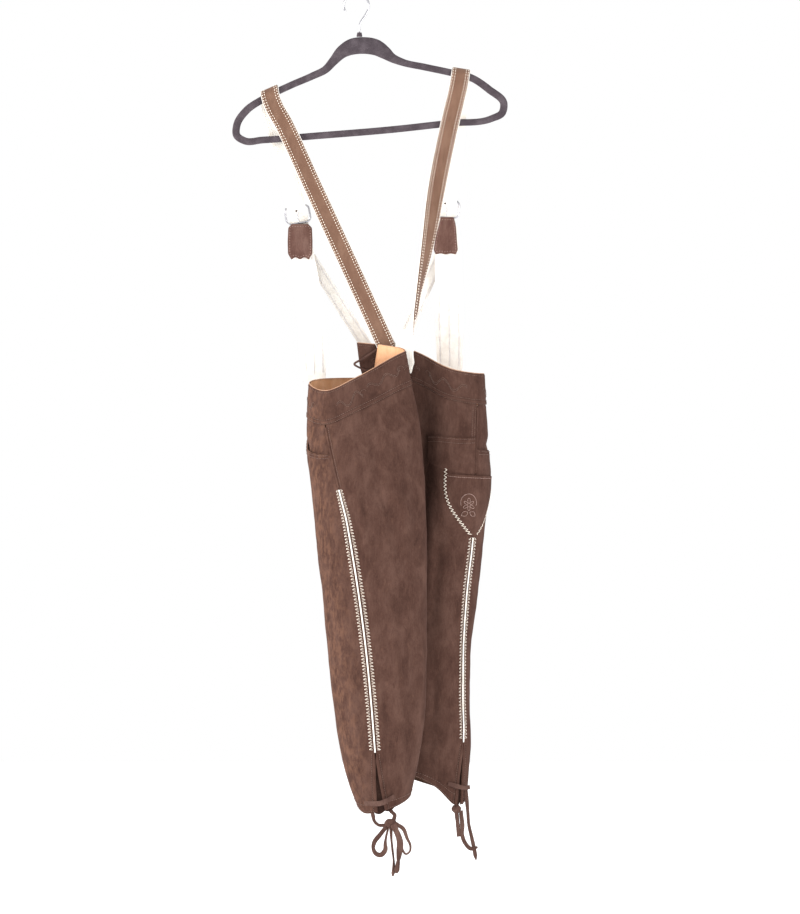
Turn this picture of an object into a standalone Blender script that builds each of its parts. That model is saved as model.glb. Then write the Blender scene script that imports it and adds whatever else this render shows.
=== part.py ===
"""Lederhosen with braces, hanging on a flocked clothes hanger. Metres, +Z up.

The origin is the inside top of the hanger's hook. The garment's back faces -Y, its front +Y, and
its left leg is at -X. Sizes below are in millimetres and turned into metres as meshes are made.

Each half of the breeches is one curved surface. A section at a height runs through named stations
from the centre-front seam, round the side, to the centre-back seam; below the fork it closes into
a leg. Panels, waistband halves, pockets, piping and tongues are all walls made from that surface.
"""
import math

import bmesh
import bpy
import numpy as np
from mathutils import Vector

MM = 0.001
SEAM_GAP = 0.9           # clear between facets at a seam
TOUCH_GAP = 0.3
WAIST_SEAM_GAP = 0.7
SUEDE = 1.6
BACKING = 1.2
WAISTBAND = 2.4
KNEE_SLIT_TOP = -1212.0

# ------------------------------------------------------------------ sections of the breeches
LEFT_STATIONS = ("front", "side", "near", "fold", "seam")
LEFT_HEADINGS = {"front": 180, "side": 270, "near": 0, "fold": 90, "seam": 180}
# height: nominal level. waist, hem: how much of the waist's and the hem's slope the row takes.
# slit: open width of the knee slit. Then the stations' x and y, and the x of the outseam.
LEFT_COLUMNS = ("height", "waist", "hem", "slit", "front_x", "front_y", "side_x", "side_y",
                "near_x", "near_y", "fold_x", "fold_y", "seam_x", "seam_y", "outseam_x")
LEFT_ROWS = (
    (-610, 1.00, 0.0, 0, 60, 76, -76, -20, 2, -70, 79, -52, 34, -31, -50),     # rim
    (-664, 1.00, 0.0, 0, 60, 78, -79, -24, 4, -80, 89, -58, 28, -28, -49),     # waistband foot
    (-720, 0.75, 0.0, 0, 61, 76, -79, -32, 8, -98, 102, -66, 40, -24, -40),    # seat
    (-790, 0.40, 0.0, 0, 60, 62, -72, -42, 14, -112, 109, -72, 46, -18, -26),  # hip
    (-840, 0.15, 0.0, 0, 53, 30, -67, -52, 18, -118, 112, -74, 48, -12, -15),  # fork front
    (-870, 0.00, 0.0, 0, 46, -4, -64, -58, 20, -120, 113, -75, 46, -4, -10),   # fork
    (-950, 0.00, 0.0, 0, 47, -11, -55, -62, 24, -119, 113, -75, 47, -11, 3),  # thigh
    (-1040, 0.0, 0.0, 0, 46, -10, -46, -64, 30, -116, 113, -73, 46, -10, 15),  # lower thigh
    (-1130, 0.0, 0.0, 0, 45, -10, -37, -64, 36, -111, 111, -70, 45, -10, 24),  # knee
    (-1205, 0.0, 0.0, 0, 46, -8, -26, -62, 40, -109, 103, -66, 46, -8, 30),  # slit top
    (-1262, 0.0, 0.5, 8, 46, -8, -12, -60, 42, -106, 93, -62, 46, -8, 35),   # calf
    (-1300, 0.0, 1.0, 13, 46, -10, 2, -58, 44, -102, 87, -60, 46, -10, 40),     # hem
)
# Rise of each station above the nominal height, where the whole slope is taken. "quarter" is
# half-way between the side and the near station.
LEFT_WAIST_RISE = {"front": -2, "side": -12, "quarter": -24, "near": -2, "fold": 40, "seam": 50}
LEFT_HEM_RISE = {"front": 24, "side": 4, "quarter": -8, "near": -3, "fold": 20, "seam": 24}

RIGHT_STATIONS = ("front", "far", "side", "near", "valley", "seam")
RIGHT_COLUMNS = ("height", "waist", "hem", "slit", "front_x", "front_y", "front_turn",
                 "far_x", "far_y", "side_x", "side_y", "near_x", "near_y",
                 "valley_x", "valley_y", "valley_turn", "seam_x", "seam_y", "seam_turn",
                 "outseam_x")
RIGHT_ROWS = (
    (-610, 1.00, 0.0, 0, 61.5, 76, 0, 118, 80, 205, 2, 158, -34, 84, -15, 180, 0, -20, 180, 194),
    (-659, 1.00, 0.0, 0, 61.5, 78, 0, 118, 84, 208, 4, 158, -38, 84, -13, 180, 8, -19, 180, 194),
    (-720, 0.75, 0.0, 0, 62.5, 76, 0, 120, 88, 212, 8, 158, -44, 86, -13, 180, 40, -21, 180, 192),
    (-790, 0.40, 0.0, 0, 61.5, 63, 5, 122, 90, 215, 12, 155, -46, 88, -11, 175, 46, -14, 175, 190),
    (-840, 0.15, 0.0, 0, 57, 42, 35, 124, 88, 208, 16, 150, -40, 88, -11, 165, 52, -6, 150, 188),
    (-870, 0.00, 0.0, 0, 52, 14, 80, 122, 85, 204.5, 18, 146, -34, 86, -9, 160, 52, 6, 110, 186),
    (-950, 0.00, 0.0, 0, 44, 22, 90, 118, 80, 196.5, 20, 142, -30, 82, -10, 160, 44, 19, 90, 177),
    (-1040, 0.0, 0.0, 0, 44, 22, 90, 114, 76, 184, 22, 136, -26, 78, -8, 158, 44, 22, 90, 171),
    (-1130, 0.0, 0.0, 0, 44, 22, 90, 114, 72, 182, 22, 134, -22, 78, -6, 158, 44, 22, 90, 170),
    (-1196, 0.0, 0.0, 0, 46, 22, 90, 114, 66, 183, 22, 132, -18, 78, -4, 156, 46, 22, 90, 171),
    (-1240, 0.0, 0.5, 6, 50, 22, 90, 114, 62, 180, 22, 130, -14, 80, -1, 154, 50, 22, 90, 167),
    (-1275, 0.0, 1.0, 9, 54, 22, 90, 114, 56, 177, 22, 128, -10, 82, 2, 152, 54, 22, 90, 164),
)
RIGHT_WAIST_RISE = {"front": -2, "far": -2, "side": 3, "quarter": 4, "near": 9, "valley": 42,
                    "seam": 53}
RIGHT_HEM_RISE = {"front": 35, "far": 10, "side": -12, "quarter": -22, "near": 6, "valley": 28,
                  "seam": 35}
GRID_STEP = 5.0          # height between the rings that the surface is read from
ARC_SAMPLES = 14         # points along each arc between two stations
PANEL_SAMPLES = 48       # columns kept for each panel of a half


def smooth(knots, values, at):
    """Cubic curve through (knots, values), read at the places in at. Knots rise."""
    knots = np.asarray(knots, float)
    values = np.asarray(values, float)
    slopes = np.gradient(values, knots)
    cell = np.clip(np.searchsorted(knots, at, side="right") - 1, 0, len(knots) - 2)
    width = knots[cell + 1] - knots[cell]
    t = (np.asarray(at, float) - knots[cell]) / width
    start = (2 * t ** 3 - 3 * t ** 2 + 1) * values[cell]
    leave = (t ** 3 - 2 * t ** 2 + t) * width * slopes[cell]
    end = (3 * t ** 2 - 2 * t ** 3) * values[cell + 1]
    arrive = (t ** 3 - t ** 2) * width * slopes[cell + 1]
    return start + leave + end + arrive


def arc(start, start_turn, end, end_turn):
    """Quarter-ellipse-like curve between two points that leaves and arrives at given headings."""
    quarter_handle = 0.5523
    leave = np.array((math.cos(math.radians(start_turn)), math.sin(math.radians(start_turn))))
    arrive = np.array((math.cos(math.radians(end_turn)), math.sin(math.radians(end_turn))))
    across = end - start
    first = start + leave * quarter_handle * abs(across @ leave)
    second = end - arrive * quarter_handle * abs(across @ arrive)
    t = np.linspace(0, 1, ARC_SAMPLES)[:, None]
    return ((1 - t) ** 3 * start + 3 * t * (1 - t) ** 2 * first
            + 3 * t ** 2 * (1 - t) * second + t ** 3 * end)


def ring(row, stations, headings, waist_rise, hem_rise):
    """Section of one half: its points, their distance along it, and the outseam's distance."""
    spots = [np.array((row[name + "_x"], row[name + "_y"])) for name in stations]
    turns = [row.get(name + "_turn", headings.get(name, 0)) for name in stations]
    runs = []
    for here in range(len(stations) - 1):
        part = arc(spots[here], turns[here], spots[here + 1], turns[here + 1])
        runs.append(part if here == 0 else part[1:])
    flat = np.vstack(runs)
    along = np.concatenate(([0.0], np.cumsum(np.linalg.norm(np.diff(flat, axis=0), axis=1))))
    at_station = {name: along[here * (ARC_SAMPLES - 1)] for here, name in enumerate(stations)}
    at_station["quarter"] = 0.5 * (at_station["side"] + at_station["near"])
    names = sorted(waist_rise, key=at_station.get)
    rises = [row["waist"] * waist_rise[name] + row["hem"] * hem_rise[name] for name in names]
    lift = smooth([at_station[name] for name in names], rises, along)
    side = int(np.argmin(np.abs(along - at_station["side"])))
    near = int(np.argmin(np.abs(along - at_station["near"])))
    stretch = slice(side, near + 1)
    order = np.argsort(flat[stretch, 0])
    outseam = np.interp(row["outseam_x"], flat[stretch, 0][order], along[stretch][order])
    return np.column_stack((flat, row["height"] + lift)), along, outseam


class Half:
    """One half of the breeches as a grid of points, read by height and by place round it."""

    def __init__(self, columns, rows, stations, headings, waist_rise, hem_rise):
        table = np.array(rows, float)
        depth = -table[:, 0]
        self.top = rows[0][0]
        self.hem = rows[-1][0]
        count = int(round((self.top - self.hem) / GRID_STEP))
        self.heights = np.linspace(self.top, self.hem, count + 1)
        values = np.column_stack([smooth(depth, table[:, c], -self.heights)
                                  for c in range(table.shape[1])])
        grid = []
        self.front_width = []
        self.back_width = []
        self.slit = np.maximum(values[:, columns.index("slit")], 0)
        for line in values:
            row = dict(zip(columns, line))
            points, along, outseam = ring(row, stations, headings, waist_rise, hem_rise)
            places = np.concatenate((np.linspace(0, outseam, PANEL_SAMPLES),
                                     np.linspace(outseam, along[-1], PANEL_SAMPLES)[1:]))
            grid.append(np.column_stack([np.interp(places, along, points[:, a])
                                         for a in range(3)]))
            self.front_width.append(outseam)
            self.back_width.append(along[-1] - outseam)
        self.points = np.array(grid)
        down = np.gradient(self.points, axis=0)
        round_it = np.gradient(self.points, axis=1)
        normals = np.cross(round_it, down)
        self.normals = normals / np.linalg.norm(normals, axis=2, keepdims=True)
        if self.normals[0, PANEL_SAMPLES, 1] > 0:
            self.normals = -self.normals

    def width(self, height, back):
        """Distance round one panel at a height, centre seam to outseam."""
        widths = self.back_width if back else self.front_width
        return np.interp(-height, -self.heights, widths)

    def open_slit(self, height):
        return np.interp(-height, -self.heights, self.slit)

    def at(self, height, place, out=0.0):
        """A point: place is 0 at the centre front, 1 at the outseam, 2 at the centre back.

        Below the hem it follows the last two rings straight on.
        """
        v = max((self.top - height) / (self.top - self.hem), 0) * (len(self.heights) - 1)
        u = np.clip(place, 0, 2) * (PANEL_SAMPLES - 1)
        row, column = min(int(v), len(self.heights) - 2), min(int(u), 2 * PANEL_SAMPLES - 3)
        fv, fu = v - row, u - column

        def mix(field):
            upper = field[row, column] * (1 - fu) + field[row, column + 1] * fu
            lower = field[row + 1, column] * (1 - fu) + field[row + 1, column + 1] * fu
            return upper * (1 - fv) + lower * fv
        normal = mix(self.normals)
        return mix(self.points) + normal / np.linalg.norm(normal) * out

    def beside_outseam(self, height, distance):
        """The place a distance from the outseam: below 0 on the front, above 0 on the back."""
        return 1 + distance / self.width(height, distance > 0)


LEFT = Half(LEFT_COLUMNS, LEFT_ROWS, LEFT_STATIONS, LEFT_HEADINGS, LEFT_WAIST_RISE, LEFT_HEM_RISE)
RIGHT = Half(RIGHT_COLUMNS, RIGHT_ROWS, RIGHT_STATIONS, {"far": 0, "side": 270, "near": 180},
             RIGHT_WAIST_RISE, RIGHT_HEM_RISE)


# ------------------------------------------------------------------ making solids
def material(name, colour, roughness, metallic=0.0):
    made = bpy.data.materials.new(name)
    made.use_nodes = True
    shader = made.node_tree.nodes["Principled BSDF"]
    shader.inputs["Base Color"].default_value = (*colour, 1.0)
    shader.inputs["Roughness"].default_value = roughness
    shader.inputs["Metallic"].default_value = metallic
    made.diffuse_color = (*colour, 1.0)
    return made


SUEDE_LOOK = (0.14, 0.075, 0.055), 0.9
NUBUCK_LOOK = (0.32, 0.17, 0.10), 0.8
CREAM_LOOK = (0.90, 0.82, 0.70), 0.6
HORN_LOOK = (0.55, 0.45, 0.33), 0.4
STEEL_LOOK = (0.75, 0.75, 0.76), 0.2, 1.0
FLOCK_LOOK = (0.05, 0.04, 0.05), 0.95


def add(name, points, faces, look, round_shading=True):
    """Put a closed solid into the scene, its faces turned outwards."""
    mesh = bpy.data.meshes.new(name)
    mesh.from_pydata([Vector(p) * MM for p in points], [], faces)
    shape = bmesh.new()
    shape.from_mesh(mesh)
    bmesh.ops.recalc_face_normals(shape, faces=shape.faces)
    shape.to_mesh(mesh)
    shape.free()
    if round_shading:
        mesh.shade_smooth()
        mesh.set_sharp_from_angle(angle=math.radians(40))
    mesh.materials.append(material(name, *look))
    made = bpy.data.objects.new(name, mesh)
    bpy.context.scene.collection.objects.link(made)
    return made


def wall(name, outer, inner, look):
    """Closed wall between two grids of points of the same shape."""
    rows, columns = outer.shape[:2]
    points = list(outer.reshape(-1, 3)) + list(inner.reshape(-1, 3))
    shift = rows * columns

    def spot(r, c):
        return r * columns + c
    faces = []
    for r in range(rows - 1):
        for c in range(columns - 1):
            near, far = spot(r, c), spot(r + 1, c + 1)
            for corner in (spot(r, c + 1), spot(r + 1, c)):
                faces.append((near, corner, far))
                faces.append((shift + near, shift + far, shift + corner))
    edge = ([(0, c) for c in range(columns)] + [(r, columns - 1) for r in range(1, rows)]
            + [(rows - 1, c) for c in range(columns - 2, -1, -1)]
            + [(r, 0) for r in range(rows - 2, 0, -1)])
    for a, b in zip(edge, edge[1:] + edge[:1]):
        first, second = spot(*a), spot(*b)
        faces.append((second, first, shift + first, shift + second))
    return add(name, points, faces, look)


def surface_wall(name, half, levels, places, out, thickness, look):
    """Wall on a half: levels[r][c] and places[r][c] say where each point lies; out is its face."""
    outer = np.array([[half.at(z, q, out) for z, q in zip(zs, qs)]
                      for zs, qs in zip(levels, places)])
    inner = np.array([[half.at(z, q, out - thickness) for z, q in zip(zs, qs)]
                      for zs, qs in zip(levels, places)])
    return wall(name, outer, inner, look)


# ------------------------------------------------------------------ breeches
WAIST_FOOT = {"left": -664.0, "right": -659.0}
POCKET_MOUTH = {"left": -718.0, "right": -731.0}
HALVES = {"left": LEFT, "right": RIGHT}
PANEL_ROWS = 15
PANEL_COLUMNS = 13
MOUTH_START, MOUTH_END = 0.60, 0.74     # places on the front panel where the mouth slants down


def back_panel(side):
    half = HALVES[side]
    top = WAIST_FOOT[side] - WAIST_SEAM_GAP
    levels = np.repeat(np.linspace(top, half.hem, PANEL_ROWS)[:, None], PANEL_COLUMNS, axis=1)
    places = np.empty_like(levels)
    for r in range(PANEL_ROWS):
        height = levels[r, 0]
        start = half.beside_outseam(height, SEAM_GAP / 2 + half.open_slit(height) / 2)
        end = 2 - SEAM_GAP / half.width(height, True)
        places[r] = np.linspace(start, end, PANEL_COLUMNS)
    return surface_wall("leg_back_" + side, half, levels, places, 0, SUEDE, SUEDE_LOOK)


def front_panel(side):
    """Front panel, its top corner cut away to the slanting mouth of the side pocket."""
    half = HALVES[side]
    foot = WAIST_FOOT[side] - WAIST_SEAM_GAP
    across = np.linspace(0, 1, PANEL_COLUMNS)
    slant = np.clip((across - MOUTH_START) / (MOUTH_END - MOUTH_START), 0, 1)
    tops = foot + (POCKET_MOUTH[side] - foot) * slant
    down = np.linspace(0, 1, PANEL_ROWS)[:, None]
    levels = tops + (half.hem - tops) * down
    places = np.empty_like(levels)
    for r in range(PANEL_ROWS):
        for c, part in enumerate(across):
            height = levels[r, c]
            start = SEAM_GAP / half.width(height, False)
            open_slit = half.open_slit(height) / 2
            end = half.beside_outseam(height, -SEAM_GAP / 2 - open_slit)
            places[r, c] = start + (end - start) * part
    return surface_wall("leg_front_" + side, half, levels, places, 0, SUEDE, SUEDE_LOOK)


def side_pocket(side):
    """Pocket facing that shows above the slanting mouth, set in behind the front panel."""
    half = HALVES[side]
    rows, columns = 5, 7
    tuck = 16.0
    set_in = SUEDE + 3.2
    foot = WAIST_FOOT[side] - 1.0
    levels = np.repeat(np.linspace(foot, POCKET_MOUTH[side] - tuck, rows)[:, None], columns, 1)
    places = np.empty_like(levels)
    for r in range(rows):
        end = half.beside_outseam(levels[r, 0], -3.0)
        places[r] = np.linspace(MOUTH_START - 0.05, end, columns)
    return surface_wall("side_pocket_" + side, half, levels, places, -set_in, SUEDE, SUEDE_LOOK)


def waistband(side):
    """Waistband of one half, centre front to centre back, with the panels' own columns."""
    half = HALVES[side]
    rows = 4
    levels = np.repeat(np.linspace(half.top, WAIST_FOOT[side], rows)[:, None],
                       2 * PANEL_COLUMNS - 1, axis=1)
    places = np.empty_like(levels)
    for r in range(rows):
        height = levels[r, 0]
        front = np.linspace(SEAM_GAP / half.width(height, False), 1, PANEL_COLUMNS)
        back = np.linspace(1, 2 - SEAM_GAP / half.width(height, True), PANEL_COLUMNS)
        places[r] = np.concatenate((front, back[1:]))
    return surface_wall("waistband_" + side, half, levels, places, 0, WAISTBAND, SUEDE_LOOK)


PIPING_WIDTH = 2.2
PIPING_PROUD = 2.0


def piping(side, top, bottom):
    half = HALVES[side]
    rows = 14
    levels = np.repeat(np.linspace(top, bottom, rows)[:, None], 2, axis=1)
    places = np.array([[half.beside_outseam(z, -PIPING_WIDTH / 2),
                        half.beside_outseam(z, PIPING_WIDTH / 2)] for z in levels[:, 0]])
    return surface_wall("piping_" + side, half, levels, places, PIPING_PROUD,
                        PIPING_PROUD - 0.7, CREAM_LOOK)


KNIFE_COLUMNS = ("height", "back_reach", "front_reach")
KNIFE_ROWS = (
    (-772, 50, 46), (-796, 50, 46), (-819, 43, 40), (-834, 33, 32), (-848, 21, 21), (-866, 4, 4))
LIE_ON = 1.3        # how far a patch floats clear of the panel under it


def knife_pocket():
    rows = [dict(zip(KNIFE_COLUMNS, row)) for row in KNIFE_ROWS]
    columns = 9
    levels = np.array([[row["height"]] * columns for row in rows], float)
    places = np.array([[RIGHT.beside_outseam(row["height"], d) for d in
                        np.linspace(-row["front_reach"], row["back_reach"], columns)]
                       for row in rows])
    return surface_wall("knife_pocket", RIGHT, levels, places, LIE_ON + SUEDE, SUEDE, SUEDE_LOOK)


BACK_POCKET_COLUMNS = ("reach", "mouth", "bottom")
BACK_POCKET_ROWS = ((2, -712, -770), (18, -714, -770), (36, -716, -769), (54, -718, -768),
                    (72, -722, -767), (88, -727, -766))


def back_pocket():
    """Patch on the right seat, its mouth sagging from the outseam towards the centre back."""
    rows = 4
    columns = [dict(zip(BACK_POCKET_COLUMNS, row)) for row in BACK_POCKET_ROWS]
    levels = np.array([[c["mouth"] + (c["bottom"] - c["mouth"]) * r / (rows - 1)
                        for c in columns] for r in range(rows)])
    places = np.array([[RIGHT.beside_outseam(z, c["reach"]) for z, c in zip(line, columns)]
                       for line in levels])
    return surface_wall("back_pocket", RIGHT, levels, places, LIE_ON + SUEDE, SUEDE, SUEDE_LOOK)


def knee_tongue(side, top, bottom, before, behind):
    """Tongue behind the knee slit, with two scallops at its foot."""
    half = HALVES[side]
    rows, columns = 7, 9
    scallop = 3.0
    across = np.linspace(0, 1, columns)
    feet = bottom - scallop * np.abs(np.sin(2 * math.pi * across))
    levels = top + (feet - top) * np.linspace(0, 1, rows)[:, None]
    places = np.array([[half.beside_outseam(z, -before + (before + behind) * part)
                        for z, part in zip(line, across)] for line in levels])
    return surface_wall("knee_tongue_" + side, half, levels, places, -SUEDE - 1.8, BACKING,
                        SUEDE_LOOK)


FLAP_REACH = 0.42        # how far round each front panel the drop-front flap goes
FLAP_TOP, FLAP_BOTTOM = -622.0, -765.0
FLAP_CLEAR = 2.6          # how far the flap floats clear of the panels


def front_flap():
    """Drop-front flap over both front panels, crossing the centre front."""
    rows, columns = 7, 6
    levels = np.linspace(FLAP_TOP, FLAP_BOTTOM, rows)
    reach = np.linspace(FLAP_REACH, 0.03, columns)
    outs = (FLAP_CLEAR + SUEDE, FLAP_CLEAR)
    faces = [np.array([[LEFT.at(z, q, out) for q in reach]
                       + [RIGHT.at(z, q, out) for q in reversed(reach)] for z in levels])
             for out in outs]
    return wall("front_flap", faces[0], faces[1], SUEDE_LOOK)


def build_breeches():
    for side in ("left", "right"):
        waistband(side)
        back_panel(side)
        front_panel(side)
        side_pocket(side)
    piping("left", -784, KNEE_SLIT_TOP + 2)
    piping("right", -869, -1196)
    knee_tongue("left", KNEE_SLIT_TOP, -1301, 12, 24)
    knee_tongue("right", -1200, -1272, 14, 3)
    knife_pocket()
    back_pocket()
    front_flap()


# ------------------------------------------------------------------ braces
RIBBON_COLUMNS = ("x", "y", "z", "turn", "width")
PLY = 1.1                # half the thickness of a brace: one layer of leather
PLY_GAP = 0.4
FACE_LAYER = (PLY_GAP + PLY, PLY_GAP)
BACKING_LAYER = (-PLY_GAP, -PLY_GAP - PLY)
STEPS_PER_ROW = 3
# From the buttoned end at the back, up over the hanger's arm, and down to the buckle in front.
# turn: how far the strap is rolled about its own length.
LEFT_BRACE = (
    (70, -20.5, -610, 0, 26), (58, -21, -584, 0, 30), (47, -22, -560, 0, 30),
    (-10, -20, -436, 0, 30), (-70, -15, -306, 0, 30), (-114, -9.5, -211, 0, 30),
    (-136, -9.5, -168, 0, 30), (-138.5, -7.5, -157.5, -10, 30), (-139, 0, -151, -24, 30),
    (-139.5, 7.5, -157.5, -16, 30), (-138.5, 9.5, -168, -2, 30), (-126, 11, -220, 0, 30),
    (-110, 14, -285, 0, 30), (-97, 15.8, -337, 0, 30), (-95, 16.2, -346, 0, 30),
    (-92.5, 22.5, -358, 0, 30), (-91.5, 25, -367, 0, 30),
    (-88, 28, -390, 0, 28))
RIGHT_BRACE = (
    (84, -29, -607, 172, 9), (80, -29, -592, 170, 27), (77, -29.5, -566, 172, 30),
    (82, -30.5, -545, 130, 30), (91, -30, -524, 92, 30), (99.5, -28, -476, 77, 30),
    (112, -25, -411, 53, 30), (131, -18, -297, 15, 30), (150, -10, -205, 0, 30),
    (165, -8, -139, 0, 30), (167.2, -5.8, -124.5, 6, 30), (168, 0, -119.8, 9, 30),
    (168, 5.8, -124.5, 7, 30), (167.5, 8, -134, 2, 30), (161, 11, -195, 0, 30),
    (154, 14, -262, 0, 30), (145.5, 15.8, -328, 0, 30), (145, 16.2, -337, 0, 30),
    (144, 22.5, -349, 0, 30), (143.5, 25, -358, 0, 30),
    (143, 28.5, -382, 0, 28))
FRONT_BRACES = {
    "left": ((-90, 21.5, -378, 0, 30), (-80, 28, -457, 0, 40), (-69, 38, -560, 0, 40),
             (-67, 44, -618, 0, 36)),
    "right": ((146, 21, -370, 0, 30), (146, 22, -392, 0, 40), (149, 60, -540, 0, 44),
              (150, 82, -606, 0, 40))}
DIAGONALS = {
    "left": ((-74, 34, -420, 0, 19), (-20, 55, -505, 0, 19), (20, 72, -568, 0, 19),
             (42, 82, -604, 0, 19)),
    "right": ((134, 40, -417, 0, 19), (105, 58, -482, 0, 19), (74, 76, -556, 0, 19),
              (55, 86.5, -606, 0, 19))}
TABS = {
    "left": ((-90, 15, -367, 0, 26), (-90, 15.5, -373, 0, 38), (-90, 16, -395, 0, 40),
             (-90, 16.5, -414, 0, 39), (-90, 16.5, -422, 0, 28)),
    "right": ((145, 15, -356, 0, 20), (145.5, 15.5, -365, 0, 26), (144, 16, -385, 0, 33),
              (143, 16.5, -408, 0, 39), (143, 16.5, -415, 0, 32))}


def ribbon_frames(rows, steps):
    """Centre, width direction, face direction and width along a strap."""
    table = np.array(rows, float)
    knots = np.concatenate(([0.0], np.cumsum(
        np.linalg.norm(np.diff(table[:, :3], axis=0), axis=1))))
    at = np.concatenate([np.linspace(a, b, steps, endpoint=False)
                         for a, b in zip(knots, knots[1:])] + [knots[-1:]])
    centre = np.column_stack([smooth(knots, table[:, c], at) for c in range(3)])
    turn = np.radians(smooth(knots, table[:, 3], at))[:, None]
    width = np.interp(at, knots, table[:, 4])[:, None]
    along = np.gradient(centre, at, axis=0)
    along /= np.linalg.norm(along, axis=1, keepdims=True)
    level = np.array((1.0, 0, 0)) - along[:, :1] * along
    level /= np.linalg.norm(level, axis=1, keepdims=True)
    across = level * np.cos(turn) + np.cross(along, level) * np.sin(turn)
    return centre, across, np.cross(across, along), width


def ribbon(name, rows, layer, look, steps=STEPS_PER_ROW):
    """One layer of a strap: layer says how far its two faces lie from the strap's middle."""
    centre, across, facing, width = ribbon_frames(rows, steps)
    sides = [np.stack([centre - across * width / 2 + facing * out,
                       centre + across * width / 2 + facing * out], axis=1) for out in layer]
    return wall(name, sides[0], sides[1], look)


def tube(name, points, diameter, look, spacing=None, closed=False, resolution=2):
    """Round wire or cord through a route's points, as a curve with a bevel and filled caps."""
    route = np.array(points, float)
    if closed:
        route = np.vstack((route, route[:1]))
    knots = np.concatenate(([0.0], np.cumsum(np.linalg.norm(np.diff(route, axis=0), axis=1))))
    count = max(int(round(knots[-1] / (spacing or 2.5 * diameter))), 2)
    at = np.linspace(0, knots[-1], count + 1)
    if closed:
        reach = 3
        knots_round = np.concatenate((knots[-1 - reach:-1] - knots[-1], knots,
                                      knots[1:1 + reach] + knots[-1]))
        route_round = np.vstack((route[-1 - reach:-1], route, route[1:1 + reach]))
        line = np.column_stack([smooth(knots_round, route_round[:, c], at[:-1])
                                for c in range(3)])
    else:
        line = np.column_stack([smooth(knots, route[:, c], at) for c in range(3)])
    data = bpy.data.curves.new(name, "CURVE")
    data.dimensions = "3D"
    data.bevel_depth = diameter / 2 * MM
    data.bevel_resolution = resolution
    data.use_fill_caps = True
    spline = data.splines.new("POLY")
    spline.points.add(len(line) - 1)
    for spot, place in zip(spline.points, line):
        spot.co = (*(place * MM), 1)
    spline.use_cyclic_u = closed
    data.materials.append(material(name, *look))
    made = bpy.data.objects.new(name, data)
    bpy.context.scene.collection.objects.link(made)
    return made


def button(name, centre, facing, radius=8.0, thickness=2.6):
    """Flat round button: centre is the middle of its underside, facing its outward direction."""
    sides = 14
    out = Vector(facing).normalized()
    first = out.orthogonal().normalized()
    second = out.cross(first)
    bevel = 0.7
    rings = ((0, radius - bevel), (bevel, radius), (thickness - bevel, radius),
             (thickness, radius - bevel))
    points = []
    for height, reach in rings:
        for k in range(sides):
            angle = 2 * math.pi * k / sides
            points.append(Vector(centre) + out * height + first * reach * math.cos(angle)
                          + second * reach * math.sin(angle))
    faces = [tuple(range(sides)), tuple(range(3 * sides, 4 * sides))]
    for r in range(len(rings) - 1):
        for k in range(sides):
            faces.append((r * sides + k, r * sides + (k + 1) % sides,
                          (r + 1) * sides + (k + 1) % sides, (r + 1) * sides + k))
    return add(name, points, faces, HORN_LOOK)


BUCKLE_CENTRES = {"left": (-94, 20, -352, -10), "right": (145, 20, -343, 4)}
BUCKLE_WIDTH, BUCKLE_HEIGHT, BUCKLE_WIRE, BUCKLE_CORNER = 39.0, 27.0, 3.0, 7.0


def buckle(side):
    """Bent-wire frame and its prong, which lies on the strap's inner side."""
    x, y, z, lean = BUCKLE_CENTRES[side]
    lean = math.radians(lean)
    corner_steps = 4
    route = []
    for quadrant, (sx, sz) in enumerate(((1, 1), (-1, 1), (-1, -1), (1, -1))):
        cx = sx * (BUCKLE_WIDTH / 2 - BUCKLE_CORNER)
        cz = sz * (BUCKLE_HEIGHT / 2 - BUCKLE_CORNER)
        for step in range(corner_steps):
            angle = math.pi / 2 * (quadrant + step / (corner_steps - 1))
            route.append((cx + BUCKLE_CORNER * math.cos(angle),
                          cz + BUCKLE_CORNER * math.sin(angle)))
    placed = [(x + u * math.cos(lean) + v * math.sin(lean), y,
               z - u * math.sin(lean) + v * math.cos(lean)) for u, v in route]
    tube("buckle_" + side, placed, BUCKLE_WIRE, STEEL_LOOK, spacing=4.5, closed=True)
    foot = BUCKLE_HEIGHT / 2 - 2.0
    prong = [(x - foot * math.sin(lean), 15.9, z - foot), (x, 14.5, z - 3), (x + 1, 12.6, z + 6)]
    tube("buckle_prong_" + side, prong, 2.2, STEEL_LOOK, spacing=4)


def build_braces():
    for side, rows in (("left", LEFT_BRACE), ("right", RIGHT_BRACE)):
        ribbon("brace_" + side + "_face", rows, FACE_LAYER, NUBUCK_LOOK)
        ribbon("brace_" + side + "_backing", rows, BACKING_LAYER, CREAM_LOOK)
        ribbon("brace_tab_" + side, TABS[side], (SUEDE / 2, -SUEDE / 2), SUEDE_LOOK)
        for part, table in (("front_brace_", FRONT_BRACES), ("diagonal_", DIAGONALS)):
            ribbon(part + side + "_face", table[side], FACE_LAYER, NUBUCK_LOOK)
            ribbon(part + side + "_backing", table[side], BACKING_LAYER, CREAM_LOOK)
        buckle(side)
    button("brace_button_back_left", (61, -22.6, -599), (0, -1, 0), 6.5, 2.2)
    button("brace_button_back_right", (84, -26.5, -592), (0, 1, 0), 6.5, 2.2)
    button("brace_button_front_left", (-66, 46.5, -606), (0, 1, 0))
    button("brace_button_front_right", (150, 84.5, -594), (0, 1, 0.2))
    button("brace_button_centre", (50, 89.5, -598), (0, 1, 0))
    flap_out = FLAP_CLEAR + SUEDE + 0.5
    for side, half in HALVES.items():
        spot = half.at(FLAP_TOP - 14, FLAP_REACH - 0.06, flap_out)
        button("flap_button_" + side, spot, spot - half.at(FLAP_TOP - 14, FLAP_REACH - 0.06))


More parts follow.
